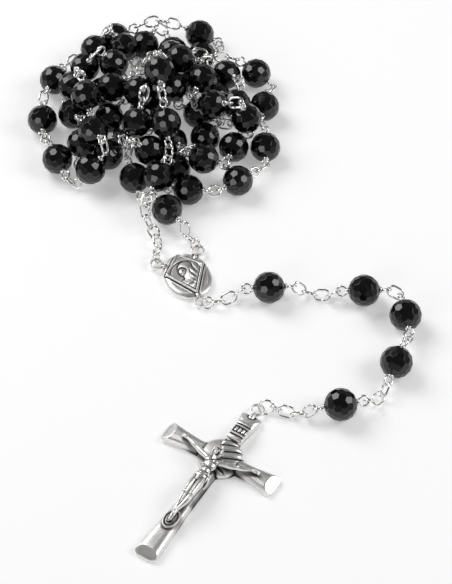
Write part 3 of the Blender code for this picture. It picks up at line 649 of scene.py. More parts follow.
# ---------------------------------------------------------------- pendant chain
names = iter(['medal_foot_ring', 'medal_link_1', 'medal_link_2', 'medal_link_3', 'our_father_upper',
              'upper_link_1', 'upper_link_2', 'upper_link_3', 'upper_link_4', 'hail_mary_1', 'middle_link_1',
              'hail_mary_2', 'middle_link_2', 'hail_mary_3', 'lower_link_1', 'lower_link_2', 'lower_link_3',
              'our_father_lower', 'cross_link_1', 'cross_link_2', 'cross_link_3', 'cross_jump_ring_small',
              'cross_jump_ring_large'])
for i, el in enumerate(pend):
    if el['kind'] == 'F':
        continue
    n = next(names)
    if el['kind'] in 'BO':
        stone(n + '_stone', el, n + '_bead', [n + '_bead'], 0.7 * i)
        pin_piece(n + '_wire', el, n + '_pin', [n + '_pin'])
    else:
        ring_piece(n + '_wire', el, n, [n])

# ---------------------------------------------------------------- the loop
for k, el in enumerate(heap[1:first]):
    n = 'left_jump_ring' if el['kind'] == 'J' else 'left_link_%d' % k
    ring_piece(n + '_wire', el, ROOT, [n])
for k, el in enumerate(heap[last + 1:-1]):
    n = 'right_jump_ring' if el['kind'] == 'J' else 'right_link_%d' % (k + 1)
    ring_piece(n + '_wire', el, ROOT, [n])
cuts = [first] + fathers + [last]
serial = {}
for i in range(first, last + 1):
    el = heap[i]
    d = max(k for k in range(5) if cuts[k] <= i)
    if el['kind'] == 'O':
        f = fathers.index(i) + 1
        stone('our_father_%d_stone' % f, el, ROOT, ['our_father_%d_bead' % f], 1.3 * i)
        pin_piece('our_father_%d_wire' % f, el, ROOT, ['our_father_%d_chain' % f])
    elif el['kind'] == 'B':
        if i == last:
            stone('last_stone', el, 'last_bead', ['last_bead'], 1.3 * i)
            pin_piece('last_wire', el, ROOT, ['last_bead_pin'])
            continue
        serial[d] = serial.get(d, 0) + 1
        n = 'decade_%d_bead_%02d' % (d + 1, serial[d])
        stone(n + '_stone', el, ROOT, ['decade_%d' % (d + 1)], 1.3 * i)
        pin_piece(n + '_wire', el, ROOT, [])
    else:
        prev = max(j for j in beads if j < i)
        ring_piece('decade_%d_link_%03d' % (d + 1, i - first), el, ROOT, [])

# ---------------------------------------------------------------- castings: closed shapes fused into one skin
def ellipsoid(c, r, turn=0.0, tilt=0.0, lean=0.0, n=28, m=16):
    """turn about Z, then tilt about X, then lean about Y, in degrees."""
    V, F = [], []
    for j in range(m + 1):
        b = math.pi * j / m - math.pi / 2
        for i in range(n):
            a = 2 * math.pi * i / n
            V.append((r[0] * math.cos(b) * math.cos(a), r[1] * math.cos(b) * math.sin(a), r[2] * math.sin(b)))
    for j in range(m):
        for i in range(n):
            i2 = (i + 1) % n
            F.append((j * n + i, j * n + i2, (j + 1) * n + i2, (j + 1) * n + i))
    V = np.array(V)
    for ang, (p, q) in ((turn, (0, 1)), (tilt, (1, 2)), (lean, (2, 0))):
        if ang:
            ca, sa = math.cos(math.radians(ang)), math.sin(math.radians(ang))
            x, y = V[:, p].copy(), V[:, q].copy()
            V[:, p], V[:, q] = ca * x - sa * y, sa * x + ca * y
    return V + np.array(c, float), F


def limb(points, radii, flat=1.0, rounds=2, sides=16):
    """A smooth tapering tube with ball ends; flat is not used."""
    Q = soften(np.hstack([np.array(points, float), np.array(radii, float)[:, None]]), False, rounds)
    P, R = Q[:, :3], Q[:, 3]
    V, F = sweep(P, 1.0, False, sides, R)
    out = [(V, F), ellipsoid(P[0], (R[0],) * 3, n=14, m=8), ellipsoid(P[-1], (R[-1],) * 3, n=14, m=8)]
    return out


def fuse(parts, voxel, calm=2, scale=0.07):
    """One closed skin round all the shapes.  Returns vertices, faces and how far each point lies in a recess."""
    vs, fs, base = [], [], 0
    for V, F in parts:
        vs.append(np.asarray(V, float))
        fs += [tuple(i + base for i in f) for f in F]
        base += len(V)
    me = bpy.data.meshes.new('casting')
    me.from_pydata(np.vstack(vs).tolist(), [], fs)
    bm = bmesh.new(); bm.from_mesh(me)
    bmesh.ops.recalc_face_normals(bm, faces=bm.faces[:])
    bm.to_mesh(me); bm.free()
    ob = bpy.data.objects.new('casting', me)
    bpy.context.scene.collection.objects.link(ob)
    md = ob.modifiers.new('skin', 'REMESH')
    md.mode, md.voxel_size, md.adaptivity = 'VOXEL', voxel, 0.0
    bpy.context.view_layer.update()
    out = bpy.data.meshes.new_from_object(ob.evaluated_get(bpy.context.evaluated_depsgraph_get()))
    bpy.data.objects.remove(ob)
    n = len(out.vertices)
    V = np.zeros(n * 3); out.vertices.foreach_get('co', V); V = V.reshape(-1, 3)
    E = np.zeros(len(out.edges) * 2, int); out.edges.foreach_get('vertices', E); E = E.reshape(-1, 2)
    F = [tuple(p.vertices) for p in out.polygons]
    bpy.data.meshes.remove(out)
    deg = np.bincount(E.ravel(), minlength=n).astype(float)[:, None]

    def mean(X):
        Y = np.zeros_like(X)
        for c in range(X.shape[1]):
            Y[:, c] = np.bincount(E[:, 0], X[E[:, 1], c], n) + np.bincount(E[:, 1], X[E[:, 0], c], n)
        return Y / np.maximum(deg, 1)
    for _ in range(calm):          # smooth without shrinking
        V = V + 0.55 * (mean(V) - V)
        V = V - 0.50 * (mean(V) - V)
    # normals
    T = np.array([(f[0], f[1], f[2]) for f in F] + [(f[0], f[2], f[3]) for f in F if len(f) == 4])
    nn = np.cross(V[T[:, 1]] - V[T[:, 0]], V[T[:, 2]] - V[T[:, 0]])
    N = np.zeros_like(V)
    for c in range(3):
        for k in range(3):
            N[:, c] += np.bincount(T[:, k], nn[:, c], n)
    N /= np.sqrt((N ** 2).sum(1))[:, None] + 1e-12
    rec = np.zeros(n)
    A = V.copy()
    for k in range(1, 41):
        A = mean(A)
        if k in (6, 16, 40):
            rec += ((A - V) * N).sum(1) / (scale * math.sqrt(k / 10.0))
    rec = rec / 3
    return V, F, np.clip(0.30 + rec, 0, 1)


def cast_piece(name, parts, voxel, mat, M, body, nodes, calm=2, scale=0.07, deep=None):
    V, F, rec = fuse(parts, voxel, calm, scale)
    # extra darkening per piece, added to the recess value; on the crucifix pieces it is painted shade
    if deep is not None:
        rec = np.clip(rec + deep(V), 0, 1)
    V = V @ M[:3, :3].T + M[:3, 3]
    ob = put(name, V, F, mat, None, body=body, nodes=nodes)
    at = ob.data.attributes.new('recess', 'FLOAT', 'POINT')
    at.data.foreach_set('value', rec.astype(np.float32))
    return ob


def plate(pts, top, bottom=0.05, rings=None):
    """A solid over an outline that is seen whole from its middle: top(x, y) gives the height."""
    pts = np.array(pts, float)
    n = len(pts)
    rings = rings or 60
    V, F = [], []
    fr = np.linspace(1, 0, rings + 1)[:-1]
    for f in fr:
        for x, y in pts * f:
            V.append((x, y, 0))
    V.append((0, 0, 0))
    V = np.array(V)
    V[:, 2] = top(V[:, 0], V[:, 1])
    for r in range(rings - 1):
        for k in range(n):
            k2 = (k + 1) % n
            F.append((r * n + k, r * n + k2, (r + 1) * n + k2, (r + 1) * n + k))
    c = rings * n
    for k in range(n):
        F.append(((rings - 1) * n + k, (rings - 1) * n + (k + 1) % n, c))
    W = [(x, y, bottom) for x, y in pts] + [(0, 0, bottom)]
    b0 = len(V)
    V = np.vstack([V, np.array(W)])
    for k in range(n):
        k2 = (k + 1) % n
        F.append((b0 + k, b0 + k2, k2, k))
        F.append((b0 + k2, b0 + k, b0 + n))
    return V, F


def torus_part(c, R, r, n=48, m=14, squash=1.0):
    V, F = [], []
    for i in range(n):
        a = 2 * math.pi * i / n
        for j in range(m):
            b = 2 * math.pi * j / m
            V.append((c[0] + (R + r * math.cos(b)) * math.cos(a), c[1] + (R + r * math.cos(b)) * math.sin(a), c[2] + r * squash * math.sin(b)))
    for i in range(n):
        for j in range(m):
            F.append((i * m + j, ((i + 1) % n) * m + j, ((i + 1) % n) * m + (j + 1) % m, i * m + (j + 1) % m))
    return np.array(V), F


def step(x, a, b):
    t = np.clip((x - a) / (b - a), 0, 1)
    return t * t * (3 - 2 * t)


def seg_dist(x, y, a, b):
    ax, ay = a; bx, by = b
    L2 = (bx - ax) ** 2 + (by - ay) ** 2
    t = np.clip(((x - ax) * (bx - ax) + (y - ay) * (by - ay)) / L2, 0, 1)
    return np.sqrt((x - ax - t * (bx - ax)) ** 2 + (y - ay - t * (by - ay)) ** 2)


def inside_by(x, y, poly):
    """How far inside a convex outline a point is; below 0 outside."""
    d = np.full(np.shape(x), 1e9)
    n = len(poly)
    for k in range(n):
        (ax, ay), (bx, by) = poly[k], poly[(k + 1) % n]
        L = math.hypot(bx - ax, by - ay)
        d = np.minimum(d, ((bx - ax) * (y - ay) - (by - ay) * (x - ax)) / L)
    return d


def dome(x, y, c, r, h, turn=0.0, sharp=1.0):
    """A rounded mound."""
    ca, sa = math.cos(math.radians(turn)), math.sin(math.radians(turn))
    u = ((x - c[0]) * ca + (y - c[1]) * sa) / r[0]
    v = (-(x - c[0]) * sa + (y - c[1]) * ca) / r[1]
    q = np.clip(1 - u * u - v * v, 0, 1)
    return h * q ** (0.5 * sharp)


# ---------------------------------------------------------------- the medal
KITE = [(0.0, 7.5), (-5.45, 1.75), (-0.1, -7.0), (5.2, 1.65)]          # anticlockwise


def medal_top(x, y):
    k = inside_by(x, y, KITE)
    w = np.abs(x / (MEDAL_W / 2)) ** 2.3 + np.abs(y / (MEDAL_H / 2)) ** 2.3
    edge = np.clip(1 - w, 0, 1)                                        # 0 at the outline
    z = 0.95 + 0.72 * np.sqrt(np.clip(edge * 3.2, 0, 1))               # soft outer slopes
    z = z + 0.10 * step(k, -0.9, -0.1)
    # the kite: a groove outside it, a raised ribbon along it, a flat field within
    z = z - 0.30 * np.exp(-((k + 0.12) / 0.13) ** 2) * step(edge, 0.0, 0.06)
    z = z + 0.20 * step(k, -0.02, 0.12)
    rib = np.exp(-((k - 0.42) / 0.30) ** 4)
    low = step(-y, -2.5, -1.2)                                         # the ribbon stands up along the two lower sides
    z = z + 0.16 * rib * (0.25 + 0.75 * low)
    # window with a round head, sunk below the field
    r = np.sqrt(((x + 0.1) / 3.9) ** 2 + ((y - 0.9) / 3.6) ** 2)
    wall = np.where(y > 0.9, 3.7 * (1 - r), np.minimum(3.9 - np.abs(x + 0.1), 9))
    win = np.minimum(wall, k - 0.72)
    z = z - 0.30 * step(win, -0.04, 0.16)
    z = z - 0.14 * np.exp(-((win - 0.06) / 0.11) ** 2)
    # the veiled figure, in low relief, looking to the left and down
    on = step(win, 0.0, 0.25)
    X0, Y0 = x, y
    x, y = (x - 0.05) / 1.17, (y + 0.30) / 1.17                        # the figure fills the window
    bust = np.maximum(dome(x, y, (0.75, -3.0), (2.75, 2.9), 0.52, 8, 0.8), dome(x, y, (1.1, 0.2), (2.0, 3.3), 0.60, -14, 0.8))
    fold = 0.055 * np.cos((x * 0.95 + y * 0.22 - 0.10 * (y - 1) ** 2) * 5.2) * step(bust, 0.12, 0.35) * step(x, -0.1, 0.9)
    fold2 = 0.06 * np.cos((x * 0.55 - y * 0.85) * 4.2) * step(bust, 0.1, 0.3) * step(-y, 1.4, 2.6)
    face = dome(x, y, (-0.62, 1.05), (0.98, 1.28), 0.50, 10, 0.9)
    veil = dome(x, y, (0.15, 1.75), (1.75, 2.05), 0.66, -20, 0.7) - dome(x, y, (-0.85, 0.95), (1.12, 1.42), 0.50, 10, 0.7) * 1.05
    nose = 0.13 * np.exp(-(seg_dist(x, y, (-0.95, 1.30), (-1.16, 0.80)) / 0.13) ** 2)
    brow = 0.08 * np.exp(-(seg_dist(x, y, (-1.12, 1.42), (-0.45, 1.52)) / 0.10) ** 2)
    socket = -0.10 * np.exp(-(seg_dist(x, y, (-0.95, 1.26), (-0.52, 1.26)) / 0.12) ** 2)
    lid = 0.05 * np.exp(-(seg_dist(x, y, (-0.84, 1.18), (-0.58, 1.18)) / 0.07) ** 2)
    mouth = -0.06 * np.exp(-(seg_dist(x, y, (-1.02, 0.52), (-0.72, 0.50)) / 0.06) ** 2) + 0.05 * np.exp(-(seg_dist(x, y, (-1.02, 0.42), (-0.76, 0.40)) / 0.07) ** 2)
    hands = np.maximum(dome(x, y, (-1.25, -2.2), (0.62, 1.15), 0.42, 24, 0.8), dome(x, y, (-0.75, -2.35), (0.55, 1.05), 0.38, 34, 0.8))
    fig = np.maximum(bust + fold + fold2, 0) * (bust > 0.01)
    fig = np.maximum(fig, veil)
    fig = np.maximum(fig, face + nose + brow + socket + lid + mouth)
    fig = np.maximum(fig, hands)
    x, y = X0, Y0
    z = z + on * fig * 0.98
    return np.minimum(z, 2.45)


mo = []
for k in range(220):
    a = 2 * math.pi * k / 220
    c, s = math.cos(a), math.sin(a)
    mo.append((MEDAL_W / 2 * math.copysign(abs(c) ** 0.87, c), MEDAL_H / 2 * math.copysign(abs(s) ** 0.87, s)))
medal_parts = [plate(mo, medal_top, 0.04, 110)]
for x, y in MEDAL_LOOPS:
    L = math.hypot(x, y)
    medal_parts.append(torus_part((x, y, MEDAL_LOOP_Z), LOOP_R, LOOP_WIRE_R + 0.04))
    medal_parts.append(torus_part((x, y, MEDAL_LOOP_Z), LOOP_R + 0.03, LOOP_WIRE_R - 0.04, squash=2.1))
    ux, uy = x / L, y / L
    medal_parts += limb([(ux * (L - 3.0), uy * (L - 3.0), 1.0), (ux * (L - 2.2), uy * (L - 2.2), MEDAL_LOOP_Z),
                         (ux * (L - LOOP_R + 0.1), uy * (L - LOOP_R + 0.1), MEDAL_LOOP_Z)], (0.75, 0.62, 0.42))
cast_piece('centre_medal', medal_parts, 0.075, MEDAL_M, rot_place(MEDAL_AT, MEDAL_TURN), ROOT, ['medal'], calm=1, scale=0.060, deep=lambda V: 0.08 + 0.16 * np.exp(-((inside_by(V[:, 0], V[:, 1], KITE) + 0.12) / 0.28) ** 2))

# ---------------------------------------------------------------- the cross
def arm(turn, length, up=False):
    """One arm: round-topped, flaring to an end that is cut off at a slope."""
    nu, nv = 36, int(length / 0.16)
    V, F = [], []
    for j in range(nv + 1):
        v = length * j / nv
        w = 2.02 + 0.16 * (1 - min(v / 5.0, 1)) + 1.02 * float(step(np.array(v), length * 0.36, length + 1.0)) ** 1.1
        pull = min(1.0, max(0.0, v - (length - 1.9)) / 1.9)
        w2 = w * (1 - pull ** 3.2) ** 0.36 + 0.02
        for i in range(nu + 1):
            u = -1 + 2 * i / nu
            edge = 0.55 + (CROSS_T - 0.55) * (1 - abs(u) ** 3.4) ** 0.5
            e = max(0.0, v - (length - 2.7))
            z = min(edge, max(CROSS_T + 0.06 - 0.56 * e, 0.5))
            if v > length - 0.35:
                z = min(z, 0.45 + 1.0 * math.sqrt(max(0.0, (length - v) / 0.35)))
            V.append((u * w2, v, z))
    nt = len(V)
    for x, y, z in V[:nt]:
        V.append((x * 0.94, min(y, length - 0.15), 0.03))
    k = nu + 1
    for j in range(nv):
        for i in range(nu):
            a = j * k + i
            F.append((a, a + 1, a + k + 1, a + k))
            F.append((nt + a, nt + a + k, nt + a + k + 1, nt + a + 1))
    rim = [i for i in range(nu + 1)] + [j * k + nu for j in range(1, nv + 1)] + [nv * k + i for i in range(nu - 1, -1, -1)] + [j * k for j in range(nv - 1, 0, -1)]
    for p, q in zip(rim, rim[1:] + rim[:1]):
        F.append((p, nt + p, nt + q, q))
    V = np.array(V)
    c, s = math.cos(math.radians(turn)), math.sin(math.radians(turn))
    x, y = V[:, 0].copy(), V[:, 1].copy()
    V[:, 0], V[:, 1] = c * x - s * y, s * x + c * y
    return V, F


cross_parts = [arm(0, CROSS_UP), arm(90, CROSS_ARM), arm(180, CROSS_DOWN), arm(270, CROSS_ARM)]
DR = DISC_R - 0.35
ring_pts = [(DR * math.cos(2 * math.pi * k / 120), DR * math.sin(2 * math.pi * k / 120)) for k in range(120)]


def disc_top(x, y):
    """A full, low dome over the crossing, with broad rounded rays fanning out on one side."""
    r2 = x * x + y * y
    z = 0.85 + 1.85 * np.sqrt(np.clip(1 - (r2 / (DR * DR + 0.05)) ** 2.0, 0, 1))
    a = math.radians(24)
    t, q = -x * math.sin(a) + y * math.cos(a), x * math.cos(a) + y * math.sin(a)
    on = step(q, -0.4, 0.5) * step(t, -1.3, -0.9) * (1 - step(t, 4.0, 4.5)) * (1 - step(np.sqrt(r2), 5.1, 5.45))
    z = z + on * (0.62 * np.abs(np.cos(math.pi * (t + 0.1 - 0.02 * q * q) / 1.95)) ** 0.6 - 0.30)
    low = step(-(y + 0.2 * x), 2.6, 3.2) * step(x, -2.2, -1.4)
    return z - 0.20 * low * (1 - step(-(y + 0.2 * x), 3.2, 3.6))


cross_parts.append(plate(ring_pts, disc_top, 0.05, 70))
cross_parts.append(torus_part((0, CROSS_LOOP_Y, MEDAL_LOOP_Z), LOOP_R, LOOP_WIRE_R + 0.05))
cross_parts += limb([(0, CROSS_UP - 1.2, 1.0), (0, CROSS_UP, 1.25), (0, CROSS_LOOP_Y - LOOP_R + 0.1, MEDAL_LOOP_Z)], (0.9, 0.66, 0.45))
CM = rot_place(CROSS_AT, CROSS_TURN)


def cross_painted_shade(V):
    """Painted shade: the cross's colour is darkened round the figure, on the disc and down the sides of the bars
    towards the table.
    """
    x, y, z = V[:, 0], V[:, 1], V[:, 2]
    d = np.minimum.reduce([seg_dist(x, y, (-9.3, -0.3), (-1.5, -3.0)) - 0.55, seg_dist(x, y, (9.6, 0.0), (1.5, -3.0)) - 0.55,
                           seg_dist(x, y, (0, -3.0), (0.1, -9.5)) - 1.45, seg_dist(x, y, (0.2, -9.5), (0.3, -14.2)) - 1.6,
                           seg_dist(x, y, (0.3, -14.0), (0.2, -20.5)) - 0.9, seg_dist(x, y, (0.2, -20.0), (0.2, -21.8)) - 1.6])
    r = np.sqrt(x * x + y * y)
    return 0.40 * np.exp(-(np.maximum(d, 0) / 0.62) ** 2) + 0.10 * (1 - step(r, 4.4, 6.2)) + 0.26 * (1 - step(z, 0.4, 1.7))


cast_piece('crucifix_cross_cast', cross_parts, 0.10, CAST_M, CM, 'crucifix', ['crucifix_cross'], calm=2, scale=0.07, deep=cross_painted_shade)

# ---------------------------------------------------------------- the title scroll: a blank ribbon with rolled ends
Z0 = CROSS_T + 0.3
sc = []
ny, nx = 60, 28
SY0, SY1, SW = SCROLL_Y - SCROLL_L / 2, SCROLL_Y + SCROLL_L / 2, SCROLL_W


def scroll_z(x, y):
    t = (y - SY0) / (SY1 - SY0)
    z = Z0 + 0.42 + 0.16 * math.cos(math.pi * (t - 0.5) * 2)
    z += 0.36 * math.exp(-((t - 0.10) / 0.095) ** 4) + 0.36 * math.exp(-((t - 0.285) / 0.052) ** 2)
    z += 0.36 * math.exp(-((t - 0.90) / 0.110) ** 4) + 0.36 * math.exp(-((t - 0.700) / 0.052) ** 2)
    z -= 0.22 * (abs(x) / (SW / 2)) ** 3
    # a plain pattern of short bars on the field
    if 0.38 < t < 0.62:
        z += 0.16 * (0.5 + 0.5 * math.cos(x * 2 * math.pi / 0.95)) * min(1, (t - 0.38) / 0.04, (0.62 - t) / 0.04)
    return z


V, F = [], []
for j in range(ny + 1):
    for i in range(nx + 1):
        t = j / ny
        x = (-1 + 2 * i / nx) * SW / 2 * (1.0 + 0.05 * math.cos(2 * math.pi * (t - 0.1) * 3))
        y = SY0 + (SY1 - SY0) * t
        V.append((SCROLL_X + x, y, scroll_z(x, y)))
nt = len(V)
V += [(x, y, Z0 + 0.02) for x, y, z in V]
k = nx + 1
for j in range(ny):
    for i in range(nx):
        a = j * k + i
        F.append((a, a + 1, a + k + 1, a + k)); F.append((nt + a, nt + a + k, nt + a + k + 1, nt + a + 1))
rim = list(range(nx + 1)) + [j * k + nx for j in range(1, ny + 1)] + [ny * k + i for i in range(nx - 1, -1, -1)] + [j * k for j in range(ny - 1, 0, -1)]
for p, q in zip(rim, rim[1:] + rim[:1]):
    F.append((p, nt + p, nt + q, q))
# painted shade: the scroll's colour is darkened low down, where it meets the cross
cast_piece('title_scroll_cast', [(np.array(V), F)], 0.06, CAST_M, CM, 'crucifix', ['title_scroll'], calm=1, scale=0.030, deep=lambda V: 0.08 + 0.25 * (1 - step(V[:, 2], Z0 + 0.1, Z0 + 0.5)))

# ---------------------------------------------------------------- the figure on the cross
Z = Z0
fig = []
fig.append(ellipsoid((0, -4.35, Z + 1.25), (1.62, 1.95, 0.95)))                       # rib cage
for s in (-1, 1):
    fig.append(ellipsoid((s * 0.78, -3.55, Z + 1.72), (0.95, 0.72, 0.48), turn=s * 12))   # breast
    fig.append(ellipsoid((s * 1.62, -2.95, Z + 1.25), (0.78, 0.70, 0.66), turn=s * 15))   # shoulder
    for r_i in range(3):                                                              # ribs
        y0 = -4.55 - 0.52 * r_i
        fig += limb([(s * 0.30, y0 + 0.10, Z + 2.02), (s * 0.85, y0 - 0.05, Z + 1.93), (s * 1.32, y0 + 0.22, Z + 1.55)], (0.10, 0.13, 0.10), rounds=1, sides=8)
fig.append(ellipsoid((0, -6.25, Z + 1.15), (1.16, 1.60, 0.85)))                        # belly
fig.append(ellipsoid((0, -5.9, Z + 1.62), (0.34, 1.15, 0.36)))
fig.append(ellipsoid((0, -7.6, Z + 1.25), (1.35, 1.0, 0.95)))                          # hips
# arms
for s, hx, hy in ((-1, -9.35, -0.25), (1, 9.70, 0.0)):
    fig += limb([(s * 1.5, -2.95, Z + 1.25), (s * 2.9, -2.55, Z + 1.15), (s * 4.1, -2.15, Z + 1.1), (s * 5.5, -1.62, Z + 0.95)], (0.66, 0.62, 0.70, 0.50), sides=16)
    fig += limb([(s * 5.4, -1.66, Z + 0.95), (s * 6.3, -1.30, Z + 0.98), (s * 7.4, -0.88, Z + 0.88), (s * 8.6, hy - 0.22, Z + 0.74)], (0.50, 0.60, 0.48, 0.31), sides=16)
    fig += limb([(s * 8.55, hy - 0.20, Z + 0.72), (hx - s * 0.25, hy - 0.03, Z + 0.66), (hx + s * 0.25, hy + 0.05, Z + 0.62)], (0.30, 0.46, 0.40), rounds=1)
    for f_i, off in enumerate((-0.33, -0.11, 0.11, 0.33)):                             # fingers
        fig += limb([(hx + s * 0.25, hy + off * 0.9, Z + 0.66), (hx + s * 0.72, hy + off * 1.15 + 0.05, Z + 0.72),
                     (hx + s * (1.05 - 0.12 * abs(f_i - 1.3)), hy + off * 1.25 - 0.02, Z + 0.50)], (0.15, 0.135, 0.11), rounds=1, sides=8)
    fig += limb([(hx - s * 0.1, hy + 0.32, Z + 0.70), (hx + s * 0.25, hy + 0.62, Z + 0.62)], (0.15, 0.12), rounds=1, sides=8)
# waist cloth with folds, knotted on one side
fig.append(ellipsoid((0.05, -8.45, Z + 1.38), (1.72, 1.35, 1.12)))
for t_i in range(7):
    y0 = -7.55 - 0.33 * t_i
    fig += limb([(-1.52, y0 - 0.30, Z + 1.35), (-0.6, y0 - 0.52, Z + 2.32), (0.5, y0 - 0.30, Z + 2.36), (1.60, y0 + 0.35, Z + 1.55)], (0.15, 0.17, 0.17, 0.15), sides=10)
fig.append(ellipsoid((1.72, -7.55, Z + 1.75), (0.50, 0.46, 0.42)))
fig += limb([(1.80, -7.7, Z + 1.65), (2.15, -8.9, Z + 1.25), (2.05, -10.4, Z + 0.75)], (0.30, 0.42, 0.34), sides=12)
fig += limb([(1.70, -7.8, Z + 1.75), (1.75, -9.2, Z + 1.55), (1.62, -10.9, Z + 1.25)], (0.22, 0.30, 0.18), sides=12)
# legs, bent a little to one side, the feet crossed
fig += limb([(-0.72, -8.9, Z + 1.25), (-0.80, -11.2, Z + 1.72), (-0.55, -13.9, Z + 2.05)], (0.98, 0.92, 0.66), sides=18)
fig += limb([(0.82, -8.9, Z + 1.28), (1.05, -11.2, Z + 1.85), (1.22, -13.9, Z + 2.20)], (1.00, 0.94, 0.68), sides=18)
fig.append(ellipsoid((-0.55, -14.05, Z + 2.18), (0.60, 0.72, 0.55)))
fig.append(ellipsoid((1.22, -14.05, Z + 2.35), (0.62, 0.74, 0.55)))
fig += limb([(-0.52, -14.1, Z + 1.95), (-0.48, -15.7, Z + 1.50), (-0.20, -17.4, Z + 1.15), (0.00, -19.0, Z + 0.95)], (0.60, 0.68, 0.48, 0.34), sides=16)
fig += limb([(1.20, -14.1, Z + 2.05), (1.10, -15.7, Z + 1.75), (0.70, -17.4, Z + 1.50), (0.42, -19.0, Z + 1.45)], (0.62, 0.70, 0.50, 0.36), sides=16)
fig += limb([(0.00, -18.9, Z + 0.95), (0.02, -20.0, Z + 1.00), (0.05, -21.2, Z + 0.72)], (0.36, 0.46, 0.40), sides=14)
fig += limb([(0.42, -18.9, Z + 1.40), (0.32, -20.0, Z + 1.42), (0.25, -21.5, Z + 0.98)], (0.38, 0.50, 0.42), sides=14)
for f_i in range(5):
    x0 = 0.25 + (-0.36 + 0.18 * f_i)
    fig += limb([(x0, -21.4, Z + 0.98), (x0 + 0.02, -21.98 + 0.10 * f_i * (f_i > 2), Z + 0.74)], (0.13, 0.105), rounds=1, sides=8)
# foot block: an oval boss with a beaded rim
fig.append(ellipsoid((0.2, -20.9, Z + 0.16), (1.62, 2.35, 0.42), n=40))
fig.append(torus_part((0, 0, 0), 1.0, 0.16))
Vt, Ft = fig.pop()
Vt = Vt.copy()
Vt[:, 0] = Vt[:, 0] * 1.62 + 0.2
Vt[:, 1] = Vt[:, 1] * 2.38 - 20.9
Vt[:, 2] = Vt[:, 2] * 1.3 + Z + 0.26
fig.append((Vt, Ft))
# neck and head, bowed a little to one side; long hair and a short beard
fig += limb([(0.0, -2.9, Z + 1.5), (-0.05, -2.1, Z + 1.75), (-0.1, -1.5, Z + 1.95)], (0.62, 0.50, 0.50))
hc = np.array([-0.12, -0.78, Z + 2.22])
fig.append(ellipsoid(hc, (0.92, 1.20, 1.00), turn=5))
fig.append(ellipsoid(hc + (0.03, 0.22, -0.22), (1.14, 1.22, 0.98), turn=5))            # hair
for s in (-1, 1):
    for q in range(3):
        off = 0.13 * q
        fig += limb([hc + (s * (0.50 - off), 1.00 - off * 0.3, 0.30 + off), hc + (s * (0.98 - off * 0.5), 0.35, 0.25 + off),
                     hc + (s * (1.06 - off * 0.3), -0.60, 0.05 + off), hc + (s * (0.98 - off), -1.55, -0.25 + off * 0.6)], (0.16, 0.22, 0.23, 0.14), sides=10)
    fig.append(ellipsoid(hc + (s * 0.36, -0.02, 0.86), (0.20, 0.10, 0.10)))            # closed eyes
    fig += limb([hc + (s * 0.12, 0.20, 0.93), hc + (s * 0.55, 0.17, 0.80)], (0.085, 0.07), rounds=1, sides=8)   # brow
    fig.append(ellipsoid(hc + (s * 0.42, -0.38, 0.70), (0.28, 0.30, 0.22)))            # cheek
    fig += limb([hc + (s * 0.06, -0.56, 0.98), hc + (s * 0.40, -0.74, 0.76)], (0.085, 0.07), rounds=1, sides=8)   # moustache
fig += limb([hc + (0, 0.12, 0.93), hc + (0, -0.30, 1.12)], (0.085, 0.14), rounds=1, sides=10)                    # nose
fig += limb([hc + (-0.15, -0.68, 0.93), hc + (0.15, -0.68, 0.93)], (0.075, 0.075), rounds=1, sides=8)            # lower lip
fig.append(ellipsoid(hc + (0, -1.02, 0.62), (0.50, 0.42, 0.36)))                       # beard
for q in (-0.22, 0.0, 0.22):
    fig += limb([hc + (q, -0.88, 0.86), hc + (q * 0.8, -1.42, 0.62)], (0.15, 0.09), rounds=1, sides=8)
# head band
hb = []
for k in range(40):
    a = 2 * math.pi * k / 40
    hb.append(hc + np.array((1.10 * math.cos(a), 0.42 + 0.10 * math.sin(3 * a), 0.02 + 1.02 * math.sin(a))))
V, F = sweep(hb, 0.13, True, 10)
fig.append((V, F))
fig = [((np.asarray(v) - (0, 0, Z)) * (1, 1, 1.12) + (0, 0, Z - 0.12), f) for v, f in fig]
# painted shade: the figure's colour is darkened low down, where it meets the cross
cast_piece('corpus_cast', fig, 0.07, CAST_M, CM, 'crucifix', ['corpus'], calm=1, scale=0.034, deep=lambda V: 0.06 + 0.30 * (1 - step(V[:, 2], Z + 0.2, Z + 0.9)))

# nails at the hands and the feet
for n, (x, y, z) in enumerate(((-9.30, -0.22, Z + 1.02), (9.65, 0.03, Z + 1.02), (0.28, -20.3, Z + 1.86))):
    V, F = ellipsoid((x, y, z), (0.24, 0.24, 0.16), n=20, m=10)
    S, G = sweep([(x, y, z - 0.05), (x, y, Z - 0.6)], 0.13, False, 10)
    off = len(V)
    ob = put('nail_%d' % (n + 1), np.vstack([V, S]), F + [tuple(i + off for i in f) for f in G], WIRE_M, CM, body='crucifix')
    normals_out(ob)

# ---------------------------------------------------------------- camera, light and floor
target = Vector((-ORIGIN[0] * MM, -ORIGIN[1] * MM, 0.0))
el_deg, dist = 50.0, 0.492
back = Vector((0.0, -math.cos(math.radians(el_deg)), math.sin(math.radians(el_deg))))
cam = bpy.data.cameras.new('camera')
cam.lens = 121.9
cam.sensor_width = 36.0
cam.sensor_fit = 'AUTO'
cam.clip_start, cam.clip_end = 0.01, 20.0
cam_ob = bpy.data.objects.new('camera', cam)
bpy.context.scene.collection.objects.link(cam_ob)
cam_ob.location = target + back * dist
cam_ob.rotation_mode = 'QUATERNION'
cam_ob.rotation_quaternion = (-back).to_track_quat('-Z', 'Y')
bpy.context.scene.camera = cam_ob
bpy.context.scene.view_settings.view_transform = 'Standard'     # so that a white floor shows white


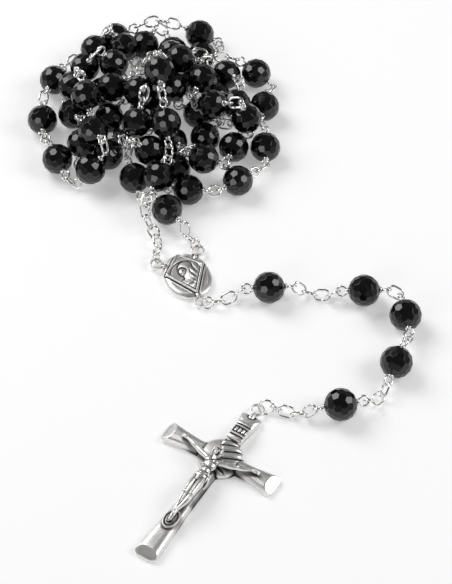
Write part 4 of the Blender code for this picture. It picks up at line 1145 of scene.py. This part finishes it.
def softbox(name, at, look, w, h, power, colour=(1, 1, 1)):
    la = bpy.data.lights.new(name, 'AREA')
    la.shape = 'RECTANGLE'
    la.size, la.size_y = w, h
    la.energy = power
    la.color = colour
    ob = bpy.data.objects.new(name, la)
    bpy.context.scene.collection.objects.link(ob)
    ob.location = at
    d = Vector(look) - Vector(at)
    ob.rotation_mode = 'QUATERNION'
    ob.rotation_quaternion = d.to_track_quat('-Z', 'Y')
    return ob


softbox('key_left_back', (-0.38, 0.30, 0.52), (0, 0, 0), 0.42, 0.42, 2.6)
softbox('fill_right', (0.50, -0.06, 0.44), (0, 0, 0), 0.34, 0.30, 1.4)
softbox('fill_front_left', (-0.34, -0.46, 0.30), (0, -0.02, 0), 0.22, 0.22, 0.4)

world = bpy.data.worlds.new('studio')
bpy.context.scene.world = world
world.use_nodes = True
wn = world.node_tree
bg = wn.nodes['Background']
tc = wn.nodes.new('ShaderNodeTexCoord')
sep = wn.nodes.new('ShaderNodeSeparateXYZ')
wn.links.new(tc.outputs['Generated'], sep.inputs[0])
rp = wn.nodes.new('ShaderNodeValToRGB')
els = rp.color_ramp.elements
for p, c in ((0.0, 0.85), (0.24, 0.62), (0.46, 0.30), (0.70, 0.20), (1.0, 0.24)):
    e = els[0] if p == 0.0 else (els[-1] if p == 1.0 else els.new(p))
    e.position = p
    e.color = (c, c, c * 1.01, 1)
wn.links.new(sep.outputs['Z'], rp.inputs['Fac'])
wn.links.new(rp.outputs['Color'], bg.inputs['Color'])
bg.inputs['Strength'].default_value = 0.55

fm = bpy.data.meshes.new('floor')
s = 1.6
fm.from_pydata([(-s, -s, -0.00001), (s, -s, -0.00001), (s, s, -0.00001), (-s, s, -0.00001)], [], [(0, 1, 2, 3)])
floor = bpy.data.objects.new('floor', fm)
bpy.context.scene.collection.objects.link(floor)
m, nt, b = new_mat('floor_white')
b.inputs['Base Color'].default_value = (0.93, 0.93, 0.935, 1)
b.inputs['Roughness'].default_value = 0.65
b.inputs['Specular IOR Level'].default_value = 0.25
b.inputs['Emission Color'].default_value = (1.0, 1.0, 1.0, 1)
b.inputs['Emission Strength'].default_value = 0.30
fm.materials.append(m)
